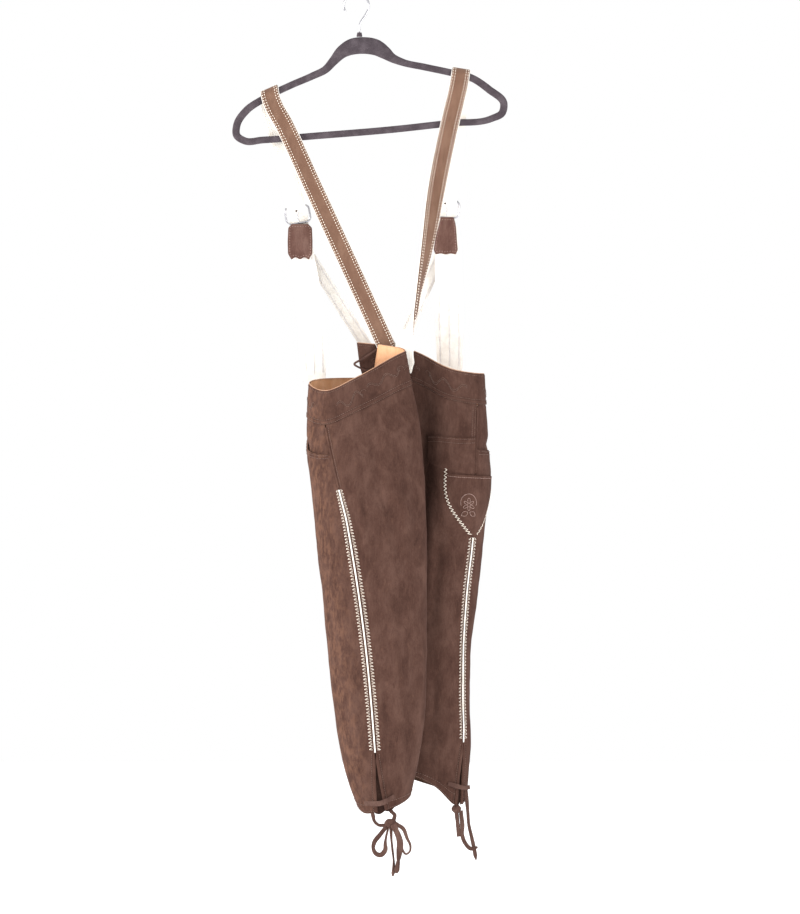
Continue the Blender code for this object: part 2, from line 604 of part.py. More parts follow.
# ------------------------------------------------------------------ laces
LACE = 3.0               # the flat suede lace as a round cord of about the same section
LACES = {
    "knee_lace_left_bridge": ((13, -106, -1291), (38, -111.5, -1291), (62, -106.5, -1280)),
    "knee_lace_left_strand_a": ((27, -100, -1311), (29, -103, -1319), (36, -106, -1325.5),
                                (44, -108, -1326)),
    "knee_lace_left_strand_b": ((57, -100, -1305), (61.5, -104, -1310), (60.5, -107.5, -1315)),
    "knee_lace_left_loop_a": (
        (47, -109, -1329.5), (38, -111, -1341), (29, -112, -1353), (27.5, -113, -1363),
        (32, -113, -1371), (39, -112, -1373), (46, -111, -1366), (46.5, -110, -1353),
        (48.5, -109, -1341), (51, -109, -1331.5)),
    "knee_lace_left_loop_b": (
        (65, -109, -1324.5), (74.7, -110, -1331), (81, -111, -1346), (86.5, -112, -1359),
        (85, -112, -1368), (79.4, -112, -1371.5), (74.5, -111, -1366), (73, -111, -1352),
        (69, -110, -1341), (63.5, -109, -1331)),
    "knee_lace_left_tail_a": ((55.5, -112.5, -1330.5), (56, -113, -1345), (58, -113, -1365),
                              (60, -112.5, -1385), (58.5, -112, -1407)),
    "knee_lace_left_tail_b": ((60.5, -115.5, -1327.5), (66, -115, -1340), (69.5, -115, -1352),
                              (68.5, -114.5, -1372), (66, -114, -1390), (64, -113, -1402)),
    "knee_lace_right_bridge": ((147, -13, -1262), (160, -11, -1266), (172, -5.5, -1269),
                               (181.5, 6, -1268)),
    "knee_lace_right_tail_a": ((160.5, -8, -1310), (162, -8, -1325), (164, -8, -1347)),
    "knee_lace_right_tail_b": ((177, 2, -1292), (178.5, -1, -1310), (180, -3, -1328),
                               (184, -4, -1346), (188, -5, -1364), (191.5, -6, -1384)),
    "knee_lace_right_tail_c": ((167.5, -9.5, -1309), (169.5, -10, -1330), (169.5, -10.5, -1345),
                               (174, -11, -1357), (183, -11, -1366), (194, -10, -1363.5)),
    "back_lace": ((38, -26.5, -565), (24, -25.5, -574), (9, -24, -584), (-3, -22, -591.5),
                  (9, -24, -599), (24, -25.5, -606), (38, -26.5, -613)),
}
KNOTS = {"knee_knot_left": ((54.9, -108, -1322.7), (9.0, 6.5, 6.3)),
         "knee_knot_right": ((160, -8, -1302.5), (7.0, 4.5, 5.8))}


def knot(name, centre, reach):
    """Small soft lump where the laces are tied."""
    shape = bmesh.new()
    bmesh.ops.create_uvsphere(shape, u_segments=12, v_segments=8, radius=1)
    points = [[c + r * v for c, r, v in zip(centre, reach, vertex.co)] for vertex in shape.verts]
    faces = [[vertex.index for vertex in face.verts] for face in shape.faces]
    shape.free()
    add(name, points, faces, SUEDE_LOOK)


def build_laces():
    for name, route in LACES.items():
        tube(name, route, LACE, SUEDE_LOOK)
    for name, (centre, reach) in KNOTS.items():
        knot(name, centre, reach)


# ------------------------------------------------------------------ hanger
HANGER_COLUMNS = ("x", "z", "width")
HANGER_ROWS = (
    (10.7, -81.8, 27), (31.5, -85, 26), (46, -93.5, 21), (57, -101.5, 15), (72, -108, 12),
    (110, -116.5, 11), (150, -125, 11), (185, -134, 11.5), (212, -152, 12), (236, -175, 12),
    (233, -190, 12), (217, -198.5, 11), (150, -206, 11), (60, -216, 11), (-60, -226, 11),
    (-150, -233, 11), (-178, -234.5, 11.5), (-191, -226, 12), (-191, -209, 12),
    (-176, -186, 12), (-150, -168, 11.5), (-106, -146, 11), (-70, -130.5, 11.5),
    (-49, -120, 12.5), (-36, -106, 15), (-22, -91.5, 21), (-7.4, -84, 26))
HANGER_DEPTH = 6.0
HOOK_WIRE = 3.5
HOOK_REACH = 20.0        # from the hook's centre to the middle of its wire
COLLAR_TOP = -61.0


def hanger_body():
    """Closed loop of flat plastic: arch, two arms and trouser bar, with softened edges."""
    table = np.array(HANGER_ROWS, float)
    closed = np.vstack((table[-3:], table, table[:3]))
    knots = np.concatenate(([0.0], np.cumsum(
        np.linalg.norm(np.diff(closed[:, :2], axis=0), axis=1))))
    steps = 2
    at = np.concatenate([np.linspace(a, b, steps, endpoint=False)
                         for a, b in zip(knots[3:-3], knots[4:-2])])
    x, z, width = (smooth(knots, closed[:, c], at) for c in range(3))
    along = np.column_stack((np.gradient(x), np.gradient(z)))
    along[0] = along[-1] = (x[1] - x[-1], z[1] - z[-1])
    along /= np.linalg.norm(along, axis=1, keepdims=True)
    outline = ((0.5, 0.22), (0.38, 0.5), (-0.38, 0.5), (-0.5, 0.22),
               (-0.5, -0.22), (-0.38, -0.5), (0.38, -0.5), (0.5, -0.22))
    sides = len(outline)
    points = []
    for k in range(len(x)):
        for part, depth in outline:
            points.append((x[k] - along[k, 1] * width[k] * part, depth * HANGER_DEPTH,
                           z[k] + along[k, 0] * width[k] * part))
    faces = []
    for k in range(len(x)):
        after = (k + 1) % len(x)
        for j in range(sides):
            beside = (j + 1) % sides
            faces.append((k * sides + j, k * sides + beside,
                          after * sides + beside, after * sides + j))
    add("hanger_body", points, faces, FLOCK_LOOK)


def build_hanger():
    hanger_body()
    button("hanger_collar", (5, 0, -67.9), (0, 0, 1), 4.6, COLLAR_TOP + 67.9)
    centre = HOOK_WIRE / 2 - HOOK_REACH
    bend = [(5, 0, COLLAR_TOP + TOUCH_GAP), (5, 0, -53), (7, 0, -45), (12, 0, -37),
            (16.5, 0, -30)]
    turns = [(HOOK_REACH * math.cos(math.radians(a)), 0,
              centre + HOOK_REACH * math.sin(math.radians(a))) for a in range(-10, 211, 20)]
    tube("hanger_hook", bend + turns, HOOK_WIRE, STEEL_LOOK, spacing=5)


def clear_scene():
    for existing in list(bpy.data.objects):
        bpy.data.objects.remove(existing, do_unlink=True)


clear_scene()
build_breeches()
build_braces()
build_laces()
build_hanger()
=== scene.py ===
import math

import bmesh
import bpy
import numpy as np
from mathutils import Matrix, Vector, noise


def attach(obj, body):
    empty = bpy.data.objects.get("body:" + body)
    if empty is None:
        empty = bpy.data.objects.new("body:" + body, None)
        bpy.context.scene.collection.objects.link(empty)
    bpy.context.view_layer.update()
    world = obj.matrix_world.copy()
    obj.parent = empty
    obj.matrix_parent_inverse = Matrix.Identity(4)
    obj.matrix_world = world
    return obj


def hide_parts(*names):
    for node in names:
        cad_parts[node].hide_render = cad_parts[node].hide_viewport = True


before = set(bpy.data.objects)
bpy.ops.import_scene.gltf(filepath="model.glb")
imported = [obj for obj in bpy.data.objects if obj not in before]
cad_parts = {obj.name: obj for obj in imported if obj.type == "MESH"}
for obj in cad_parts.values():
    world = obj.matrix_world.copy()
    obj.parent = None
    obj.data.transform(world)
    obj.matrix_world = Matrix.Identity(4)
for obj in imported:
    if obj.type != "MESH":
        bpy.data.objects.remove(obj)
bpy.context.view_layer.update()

# Lederhosen with braces on a clothes hanger. The shapes below are worked out in millimetres in
# the frame's own axes: the garment's back faces -Y, +Z is up, the wearer's left is at -X.
MM = 0.001
SEAM_GAP = 0.9           # between the edges of two leg panels
SUEDE = 1.6              # thickness of the cloth
BACKING = 1.2            # thickness of the tongues behind the knee slits
WAISTBAND = 2.4          # thickness of the waistband, which is of two layers
KNEE_SLIT_TOP = -1212.0  # on the left leg

# ------------------------------------------------------------------ sections of the breeches
LEFT_STATIONS = ("front", "side", "near", "fold", "seam")
LEFT_HEADINGS = {"front": 180, "side": 270, "near": 0, "fold": 90, "seam": 180}
# height: nominal level. waist, hem: how much of the waist's and the hem's slope the row takes.
# slit: open width of the knee slit. Then the stations' x and y, and the x of the outseam.
LEFT_COLUMNS = ("height", "waist", "hem", "slit", "front_x", "front_y", "side_x", "side_y",
                "near_x", "near_y", "fold_x", "fold_y", "seam_x", "seam_y", "outseam_x")
LEFT_ROWS = (
    (-610, 1.00, 0.0, 0, 60, 76, -76, -20, 2, -70, 79, -52, 34, -31, -50),     # rim
    (-664, 1.00, 0.0, 0, 60, 78, -79, -24, 4, -80, 89, -58, 28, -28, -49),     # waistband foot
    (-720, 0.75, 0.0, 0, 61, 76, -79, -32, 8, -98, 102, -66, 40, -24, -40),    # seat
    (-790, 0.40, 0.0, 0, 60, 62, -72, -42, 14, -112, 109, -72, 46, -18, -26),  # hip
    (-840, 0.15, 0.0, 0, 53, 30, -67, -52, 18, -118, 112, -74, 48, -12, -15),  # fork front
    (-870, 0.00, 0.0, 0, 46, -4, -64, -58, 20, -120, 113, -75, 46, -4, -10),   # fork
    (-950, 0.00, 0.0, 0, 47, -11, -55, -62, 24, -119, 113, -75, 47, -11, 3),  # thigh
    (-1040, 0.0, 0.0, 0, 46, -10, -46, -64, 30, -116, 113, -73, 46, -10, 15),  # lower thigh
    (-1130, 0.0, 0.0, 0, 45, -10, -37, -64, 36, -111, 111, -70, 45, -10, 24),  # knee
    (-1205, 0.0, 0.0, 0, 46, -8, -26, -62, 40, -109, 103, -66, 46, -8, 30),  # slit top
    (-1262, 0.0, 0.5, 8, 46, -8, -12, -60, 42, -106, 93, -62, 46, -8, 35),   # calf
    (-1300, 0.0, 1.0, 13, 46, -10, 2, -58, 44, -102, 87, -60, 46, -10, 40),     # hem
)
# Rise of each station above the nominal height, where the whole slope is taken. "quarter" is
# half-way between the side and the near station.
LEFT_WAIST_RISE = {"front": -2, "side": -12, "quarter": -24, "near": -2, "fold": 40, "seam": 50}
LEFT_HEM_RISE = {"front": 24, "side": 4, "quarter": -8, "near": -3, "fold": 20, "seam": 24}

RIGHT_STATIONS = ("front", "far", "side", "near", "valley", "seam")
RIGHT_COLUMNS = ("height", "waist", "hem", "slit", "front_x", "front_y", "front_turn",
                 "far_x", "far_y", "side_x", "side_y", "near_x", "near_y",
                 "valley_x", "valley_y", "valley_turn", "seam_x", "seam_y", "seam_turn",
                 "outseam_x")
RIGHT_ROWS = (
    (-610, 1.00, 0.0, 0, 61.5, 76, 0, 118, 80, 205, 2, 158, -34, 84, -15, 180, 0, -20, 180, 194),
    (-659, 1.00, 0.0, 0, 61.5, 78, 0, 118, 84, 208, 4, 158, -38, 84, -13, 180, 8, -19, 180, 194),
    (-720, 0.75, 0.0, 0, 62.5, 76, 0, 120, 88, 212, 8, 158, -44, 86, -13, 180, 40, -21, 180, 192),
    (-790, 0.40, 0.0, 0, 61.5, 63, 5, 122, 90, 215, 12, 155, -46, 88, -11, 175, 46, -14, 175, 190),
    (-840, 0.15, 0.0, 0, 57, 42, 35, 124, 88, 208, 16, 150, -40, 88, -11, 165, 52, -6, 150, 188),
    (-870, 0.00, 0.0, 0, 52, 14, 80, 122, 85, 204.5, 18, 146, -34, 86, -9, 160, 52, 6, 110, 186),
    (-950, 0.00, 0.0, 0, 44, 22, 90, 118, 80, 196.5, 20, 142, -30, 82, -10, 160, 44, 19, 90, 177),
    (-1040, 0.0, 0.0, 0, 44, 22, 90, 114, 76, 184, 22, 136, -26, 78, -8, 158, 44, 22, 90, 171),
    (-1130, 0.0, 0.0, 0, 44, 22, 90, 114, 72, 182, 22, 134, -22, 78, -6, 158, 44, 22, 90, 170),
    (-1196, 0.0, 0.0, 0, 46, 22, 90, 114, 66, 183, 22, 132, -18, 78, -4, 156, 46, 22, 90, 171),
    (-1240, 0.0, 0.5, 6, 50, 22, 90, 114, 62, 180, 22, 130, -14, 80, -1, 154, 50, 22, 90, 167),
    (-1275, 0.0, 1.0, 9, 54, 22, 90, 114, 56, 177, 22, 128, -10, 82, 2, 152, 54, 22, 90, 164),
)
RIGHT_WAIST_RISE = {"front": -2, "far": -2, "side": 3, "quarter": 4, "near": 9, "valley": 42,
                    "seam": 53}
RIGHT_HEM_RISE = {"front": 35, "far": 10, "side": -12, "quarter": -22, "near": 6, "valley": 28,
                  "seam": 35}
GRID_STEP = 5.0          # height between the rings that the surface is read from
ARC_SAMPLES = 14         # points along each arc between two stations
PANEL_SAMPLES = 48       # columns kept for each panel of a half


def line_length(points):
    """Distance along a line of points, at each of them."""
    return np.concatenate(([0.0], np.cumsum(np.linalg.norm(np.diff(points, axis=0), axis=1))))


def smooth(knots, values, at):
    """Cubic curve through (knots, values), read at the places in at. Knots rise."""
    knots = np.asarray(knots, float)
    values = np.asarray(values, float)
    slopes = np.gradient(values, knots)
    cell = np.clip(np.searchsorted(knots, at, side="right") - 1, 0, len(knots) - 2)
    width = knots[cell + 1] - knots[cell]
    t = (np.asarray(at, float) - knots[cell]) / width
    start = (2 * t ** 3 - 3 * t ** 2 + 1) * values[cell]
    leave = (t ** 3 - 2 * t ** 2 + t) * width * slopes[cell]
    end = (3 * t ** 2 - 2 * t ** 3) * values[cell + 1]
    arrive = (t ** 3 - t ** 2) * width * slopes[cell + 1]
    return start + leave + end + arrive


def arc(start, start_turn, end, end_turn):
    """Quarter-ellipse-like curve between two points that leaves and arrives at given headings."""
    quarter_handle = 0.5523
    leave = np.array((math.cos(math.radians(start_turn)), math.sin(math.radians(start_turn))))
    arrive = np.array((math.cos(math.radians(end_turn)), math.sin(math.radians(end_turn))))
    across = end - start
    first = start + leave * quarter_handle * abs(across @ leave)
    second = end - arrive * quarter_handle * abs(across @ arrive)
    t = np.linspace(0, 1, ARC_SAMPLES)[:, None]
    return ((1 - t) ** 3 * start + 3 * t * (1 - t) ** 2 * first
            + 3 * t ** 2 * (1 - t) * second + t ** 3 * end)


def ring(row, stations, headings, waist_rise, hem_rise):
    """Section of one half: its points, their distance along it, and the outseam's distance."""
    spots = [np.array((row[name + "_x"], row[name + "_y"])) for name in stations]
    turns = [row.get(name + "_turn", headings.get(name, 0)) for name in stations]
    runs = []
    for here in range(len(stations) - 1):
        part = arc(spots[here], turns[here], spots[here + 1], turns[here + 1])
        runs.append(part if here == 0 else part[1:])
    flat = np.vstack(runs)
    along = line_length(flat)
    at_station = {name: along[here * (ARC_SAMPLES - 1)] for here, name in enumerate(stations)}
    at_station["quarter"] = 0.5 * (at_station["side"] + at_station["near"])
    names = sorted(waist_rise, key=at_station.get)
    rises = [row["waist"] * waist_rise[name] + row["hem"] * hem_rise[name] for name in names]
    lift = smooth([at_station[name] for name in names], rises, along)
    side = int(np.argmin(np.abs(along - at_station["side"])))
    near = int(np.argmin(np.abs(along - at_station["near"])))
    stretch = slice(side, near + 1)
    order = np.argsort(flat[stretch, 0])
    outseam = np.interp(row["outseam_x"], flat[stretch, 0][order], along[stretch][order])
    return np.column_stack((flat, row["height"] + lift)), along, outseam


class Half:
    """One half of the breeches as a grid of points, read by height and by place round it."""

    def __init__(self, columns, rows, stations, headings, waist_rise, hem_rise):
        table = np.array(rows, float)
        depth = -table[:, 0]
        self.top = rows[0][0]
        self.hem = rows[-1][0]
        count = int(round((self.top - self.hem) / GRID_STEP))
        self.heights = np.linspace(self.top, self.hem, count + 1)
        values = np.column_stack([smooth(depth, table[:, c], -self.heights)
                                  for c in range(table.shape[1])])
        grid = []
        self.front_width = []
        self.back_width = []
        self.slit = np.maximum(values[:, columns.index("slit")], 0)
        for line in values:
            row = dict(zip(columns, line))
            points, along, outseam = ring(row, stations, headings, waist_rise, hem_rise)
            places = np.concatenate((np.linspace(0, outseam, PANEL_SAMPLES),
                                     np.linspace(outseam, along[-1], PANEL_SAMPLES)[1:]))
            grid.append(np.column_stack([np.interp(places, along, points[:, a])
                                         for a in range(3)]))
            self.front_width.append(outseam)
            self.back_width.append(along[-1] - outseam)
        self.points = np.array(grid)
        down = np.gradient(self.points, axis=0)
        round_it = np.gradient(self.points, axis=1)
        normals = np.cross(round_it, down)
        self.normals = normals / np.linalg.norm(normals, axis=2, keepdims=True)
        if self.normals[0, PANEL_SAMPLES, 1] > 0:
            self.normals = -self.normals

    def width(self, height, back):
        """Distance round one panel at a height, centre seam to outseam."""
        return np.where(back, np.interp(-height, -self.heights, self.back_width),
                        np.interp(-height, -self.heights, self.front_width))

    def open_slit(self, height):
        """Open width of the knee slit at a height."""
        return np.interp(-height, -self.heights, self.slit)

    def at(self, height, place, out=0.0):
        """A point: place is 0 at the centre front, 1 at the outseam, 2 at the centre back.

        Below the hem it follows the last two rings straight on.
        """
        v = max((self.top - height) / (self.top - self.hem), 0) * (len(self.heights) - 1)
        u = np.clip(place, 0, 2) * (PANEL_SAMPLES - 1)
        row, column = min(int(v), len(self.heights) - 2), min(int(u), 2 * PANEL_SAMPLES - 3)
        fv, fu = v - row, u - column

        def mix(field):
            upper = field[row, column] * (1 - fu) + field[row, column + 1] * fu
            lower = field[row + 1, column] * (1 - fu) + field[row + 1, column + 1] * fu
            return upper * (1 - fv) + lower * fv
        normal = mix(self.normals)
        return mix(self.points) + normal / np.linalg.norm(normal) * out

    def beside_outseam(self, height, distance):
        """The place a distance from the outseam: below 0 on the front, above 0 on the back."""
        distance = np.asarray(distance, float)
        return 1 + distance / self.width(np.asarray(height, float), distance > 0)


LEFT = Half(LEFT_COLUMNS, LEFT_ROWS, LEFT_STATIONS, LEFT_HEADINGS, LEFT_WAIST_RISE, LEFT_HEM_RISE)
RIGHT = Half(RIGHT_COLUMNS, RIGHT_ROWS, RIGHT_STATIONS, {"far": 0, "side": 270, "near": 180},
             RIGHT_WAIST_RISE, RIGHT_HEM_RISE)


# ------------------------------------------------------------------ reading the halves finely
HALVES = {"left": LEFT, "right": RIGHT}
WAIST_FOOT = {"left": -664.0, "right": -659.0}
POCKET_MOUTH = {"left": -718.0, "right": -731.0}
MOUTH_START, MOUTH_END = 0.60, 0.74


def taps(at, count):
    """The four rows round each place and their cubic weights; straight on past the last row."""
    cell = np.clip(at.astype(int), 0, count - 2)
    t = at - cell
    inside = np.clip(t, 0, 1)
    weights = np.stack(((-inside ** 3 + 2 * inside ** 2 - inside) / 2,
                        (3 * inside ** 3 - 5 * inside ** 2 + 2) / 2,
                        (-3 * inside ** 3 + 4 * inside ** 2 + inside) / 2,
                        (inside ** 3 - inside ** 2) / 2))
    beyond = np.maximum(t - 1, 0)
    weights[2] += beyond
    weights[1] -= beyond
    return [np.clip(cell + k, 0, count - 1) for k in (-1, 0, 1, 2)], weights


def read(half, heights, places):
    """Points on a half and the directions out of it, for arrays of heights and places."""
    rows, columns = half.points.shape[:2]
    v = np.maximum((half.top - heights) / (half.top - half.hem), 0) * (rows - 1)
    u = np.clip(places, 0, 2) * (PANEL_SAMPLES - 1)
    down, down_weights = taps(v, rows)
    along, along_weights = taps(u, columns)
    points = np.zeros(heights.shape + (3,))
    normals = np.zeros_like(points)
    for row, row_weight in zip(down, down_weights):
        for column, column_weight in zip(along, along_weights):
            share = (row_weight * column_weight)[..., None]
            points += half.points[row, column] * share
            normals += half.normals[row, column] * share
    return points, normals / np.linalg.norm(normals, axis=-1, keepdims=True)


def rise(edge0, edge1, at):
    """Smooth step from 0 at edge0 to 1 at edge1."""
    t = np.clip((at - edge0) / (edge1 - edge0), 0, 1)
    return t * t * (3 - 2 * t)


# Creases in the worn suede. view is the side that they are seen from: back, front or the far
# side of a leg. x and z are the start, middle and end; size is the half width, depth is below 0
# for a trough.
CREASE_COLUMNS = ("half", "view", "x0", "z0", "x1", "z1", "x2", "z2", "size", "depth")
CREASES = (
    # left leg, back
    ("left", "back", -30, -790, -8, -830, 6, -905, 9, -2.6),
    ("left", "back", -2, -775, 10, -850, 16, -945, 7, 1.8),
    ("left", "back", 22, -700, 34, -745, 38, -820, 10, -2.2),
    ("left", "back", 40, -800, 58, -835, 70, -905, 12, -3.0),
    ("left", "back", 55, -790, 76, -820, 84, -880, 9, 2.2),
    ("left", "back", 66, -880, 74, -940, 72, -1015, 10, -2.0),
    ("left", "back", 90, -700, 93, -800, 90, -930, 7, -1.8),
    ("left", "back", -50, -735, -40, -800, -30, -880, 8, 1.5),
    ("left", "back", 58, -1000, 66, -1070, 62, -1140, 12, 1.9),
    ("left", "back", 86, -1010, 92, -1090, 82, -1190, 9, -2.2),
    ("left", "back", 42, -1090, 52, -1150, 54, -1220, 10, -1.8),
    ("left", "back", 66, -1170, 74, -1215, 70, -1275, 9, 1.6),
    ("left", "back", -25, -925, -12, -990, -2, -1060, 9, -1.5),
    ("left", "back", -2, -1075, 6, -1130, 16, -1190, 8, -1.6),
    ("left", "back", -66, -700, -52, -712, -40, -722, 7, -1.5),
    ("left", "back", 10, -690, 40, -706, 76, -704, 9, 1.3),
    # left leg, front
    ("left", "front", -30, -800, -10, -880, 0, -960, 11, -2.4),
    ("left", "front", 20, -880, 30, -960, 36, -1060, 12, 2.0),
    ("left", "front", 80, -900, 84, -1000, 80, -1100, 11, -2.2),
    ("left", "front", -10, -1040, 14, -1110, 22, -1200, 10, -2.0),
    ("left", "front", 55, -1120, 60, -1190, 56, -1270, 10, 1.6),
    # right leg, back
    ("right", "back", 108, -700, 104, -770, 100, -850, 8, -2.2),
    ("right", "back", 120, -800, 116, -880, 112, -960, 9, 2.0),
    ("right", "back", 134, -870, 126, -940, 120, -1030, 9, -2.2),
    ("right", "back", 98, -900, 96, -990, 98, -1080, 7, -2.0),
    ("right", "back", 112, -1020, 108, -1100, 110, -1190, 9, 1.7),
    ("right", "back", 128, -1080, 122, -1150, 118, -1230, 8, -1.8),
    ("right", "back", 150, -1060, 148, -1120, 144, -1180, 7, -1.2),
    ("right", "back", 118, -680, 132, -692, 150, -690, 8, -1.3),
    # right leg, front and far side
    ("right", "front", 150, -760, 140, -860, 134, -980, 12, -2.8),
    ("right", "front", 90, -860, 84, -950, 80, -1060, 12, 2.2),
    ("right", "front", 178, -840, 168, -940, 160, -1050, 10, 2.0),
    ("right", "front", 110, -1000, 104, -1090, 108, -1190, 11, -2.2),
    ("right", "front", 150, -1090, 146, -1160, 140, -1240, 10, 1.8),
)
CREASE_GAIN = 1.5        # every depth above is taken this many times


def relief(name, points, normals):
    """How far worn cloth stands off its plain form, in mm, at each point."""
    x, z = points[..., 0], points[..., 2]
    out = np.zeros(x.shape)
    for row in CREASES:
        crease = dict(zip(CREASE_COLUMNS, row))
        if crease["half"] != name:
            continue
        ends = [np.array((crease["x" + k], crease["z" + k]), float) for k in "012"]
        steps = np.linspace(0, 1, 13)[:, None]
        path = ((1 - steps) ** 2 * ends[0] + 2 * steps * (1 - steps) * (
            2 * ends[1] - 0.5 * ends[0] - 0.5 * ends[2]) + steps ** 2 * ends[2])
        nearest = np.full(x.shape, 1e9)
        along = np.zeros(x.shape)
        for k in range(len(path) - 1):
            step = path[k + 1] - path[k]
            t = np.clip(((x - path[k, 0]) * step[0] + (z - path[k, 1]) * step[1])
                        / (step @ step), 0, 1)
            far = np.hypot(x - path[k, 0] - t * step[0], z - path[k, 1] - t * step[1])
            along = np.where(far < nearest, (k + t) / (len(path) - 1), along)
            nearest = np.minimum(far, nearest)
        size = crease["size"] * (0.75 + 0.5 * along)
        taper = np.sin(np.pi * np.clip(along * 0.94 + 0.03, 0, 1)) ** 0.7
        facing = -normals[..., 1] if crease["view"] == "back" else normals[..., 1]
        out += (crease["depth"] * np.exp(-(nearest / size) ** 2) * taper
                * rise(0.1, 0.45, facing))
    return out * CREASE_GAIN


def soft_noise(points, size, shift=0.0):
    """Smooth unevenness from -1 to 1, with features of the given size in mm."""
    flat = points.reshape(-1, 3) / size + shift
    return np.array([noise.noise(Vector(p)) for p in flat]).reshape(points.shape[:-1])


# ------------------------------------------------------------------ making meshes
def place(obj, node_names=(), slot=None):
    """Ride on the garment's one body, and stand for CAD nodes."""
    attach(obj, "root")
    if node_names:
        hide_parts(*node_names)
    return obj


def mesh_object(name, points, faces, materials, smooth_shading=True, sharp=None):
    """Mesh from points in mm. Edges that turn by more than sharp degrees stay hard."""
    mesh = bpy.data.meshes.new(name)
    mesh.from_pydata((np.asarray(points) * MM).tolist(), [], faces)
    if smooth_shading:
        mesh.shade_smooth()
        if sharp:
            mesh.set_sharp_from_angle(angle=math.radians(sharp))
    for each in materials if isinstance(materials, (list, tuple)) else (materials,):
        mesh.materials.append(each)
    made = bpy.data.objects.new(name, mesh)
    bpy.context.scene.collection.objects.link(made)
    return made


def grid_faces(rows, columns, shift=0, turned=False):
    """Quads over a grid of points, as an array of corner numbers."""
    r, c = np.meshgrid(np.arange(rows - 1), np.arange(columns - 1), indexing="ij")
    first = (r * columns + c).ravel() + shift
    quads = np.column_stack((first, first + 1, first + columns + 1, first + columns))
    return quads[:, ::-1] if turned else quads


def shell(name, outer, inner, materials, sharp=50):
    """Closed thin cloth between two grids. Its materials are for the outside, inside and rim."""
    rows, columns = outer.shape[:2]
    shift = rows * columns
    edge = np.array([(0, c) for c in range(columns)]
                    + [(r, columns - 1) for r in range(1, rows)]
                    + [(rows - 1, c) for c in range(columns - 2, -1, -1)]
                    + [(r, 0) for r in range(rows - 2, 0, -1)])
    loop = edge[:, 0] * columns + edge[:, 1]
    after = np.roll(loop, -1)
    middle = (outer[rows // 2, columns // 2] + inner[rows // 2, columns // 2]) / 2
    across = outer[rows // 2, columns // 2] - middle
    row_step = outer[min(rows // 2 + 1, rows - 1), columns // 2] - outer[rows // 2, columns // 2]
    column_step = (outer[rows // 2, min(columns // 2 + 1, columns - 1)]
                   - outer[rows // 2, columns // 2])
    turned = np.dot(np.cross(column_step, row_step), across) < 0
    faces = np.vstack((grid_faces(rows, columns, 0, turned),
                       grid_faces(rows, columns, shift, not turned)))
    rim = np.column_stack((after, loop, loop + shift, after + shift))
    if turned:
        rim = rim[:, ::-1]
    points = np.vstack((outer.reshape(-1, 3), inner.reshape(-1, 3)))
    made = mesh_object(name, points, np.vstack((faces, rim)).tolist(), materials, sharp=sharp)
    kinds = np.zeros(len(faces) + len(rim), int)
    if len(made.data.materials) > 1:
        kinds[len(faces) // 2:len(faces)] = 1
        kinds[len(faces):] = len(made.data.materials) - 1
        made.data.polygons.foreach_set("material_index", kinds)
    return made


def resample(points, at, *others):
    """Points and further arrays read at distances along the line of points."""
    knots = line_length(points)
    return [np.column_stack([np.interp(at, knots, a[:, c]) for c in range(a.shape[1])])
            for a in (points,) + others]


def tube_faces(rings, sides):
    """Quads round an open tube of rings, as corner numbers."""
    return [(r * sides + k, r * sides + (k + 1) % sides,
             (r + 1) * sides + (k + 1) % sides, (r + 1) * sides + k)
            for r in range(rings - 1) for k in range(sides)]


def face_outward(made):
    """Turn the faces of a closed mesh outward."""
    shape = bmesh.new()
    shape.from_mesh(made.data)
    bmesh.ops.recalc_face_normals(shape, faces=shape.faces)
    shape.to_mesh(made.data)
    shape.free()


def oblong(sides, square):
    """Section from -1 to 1 both ways: round where square is 2, boxier above it."""
    angles = 2 * np.pi * (np.arange(sides) + 0.5) / sides
    return (np.sign(np.cos(angles)) * np.abs(np.cos(angles)) ** (2 / square),
            np.sign(np.sin(angles)) * np.abs(np.sin(angles)) ** (2 / square))


# One stitch: share of its length, share of its thickness.
GRAIN = ((0.0, 0.35), (0.18, 0.95), (0.5, 1.0), (0.82, 0.95), (1.0, 0.35))
GRAIN_SIDES = 5


def grains(name, starts, ends, normals, thickness, material, hump=0.35):
    """Sewn stitches, each one short round grain of thread lying from its start to its end."""
    starts, ends, normals = (np.asarray(a, float) for a in (starts, ends, normals))
    along = ends - starts
    length = np.linalg.norm(along, axis=1, keepdims=True)
    along = along / length
    side = np.cross(along, normals)
    side /= np.linalg.norm(side, axis=1, keepdims=True)
    up = np.cross(side, along)
    rings = []
    for t, share in GRAIN:
        centre = starts + along * length * t + up * thickness * (hump * math.sin(math.pi * t))
        for k in range(GRAIN_SIDES):
            angle = 2 * math.pi * (k + 0.5) / GRAIN_SIDES
            rings.append(centre + (side * math.cos(angle) + up * math.sin(angle))
                         * thickness * 0.5 * share)
    points = np.stack(rings, axis=1)
    sides, count = GRAIN_SIDES, len(GRAIN)
    pattern = [tuple(reversed(range(sides))), tuple(range((count - 1) * sides, count * sides))]
    pattern += tube_faces(count, sides)
    faces = []
    for n in range(len(starts)):
        shift = n * count * sides
        faces.extend(tuple(shift + v for v in face) for face in pattern)
    return mesh_object(name, points.reshape(-1, 3), faces, material)


def stitch_line(points, normals, pitch, share=0.66, lift=0.25, wander=0.0):
    """Starts, ends and outward directions of running stitches along a line."""
    total = line_length(points)[-1]
    count = max(int(total / pitch), 1)
    begins = (np.arange(count) + (1 - share) / 2) * total / count
    starts, first = resample(points, begins, normals)
    ends, second = resample(points, begins + share * total / count, normals)
    if wander:
        sway = np.array([noise.noise(Vector((k * 0.9, 3.1, pitch))) for k in range(count)])
        side = np.cross(ends - starts, first)
        side /= np.linalg.norm(side, axis=1, keepdims=True)
        starts, ends = starts + side * sway[:, None] * wander, ends - side * sway[:, None] * wander
    return starts + first * lift, ends + second * lift, (first + second) / 2


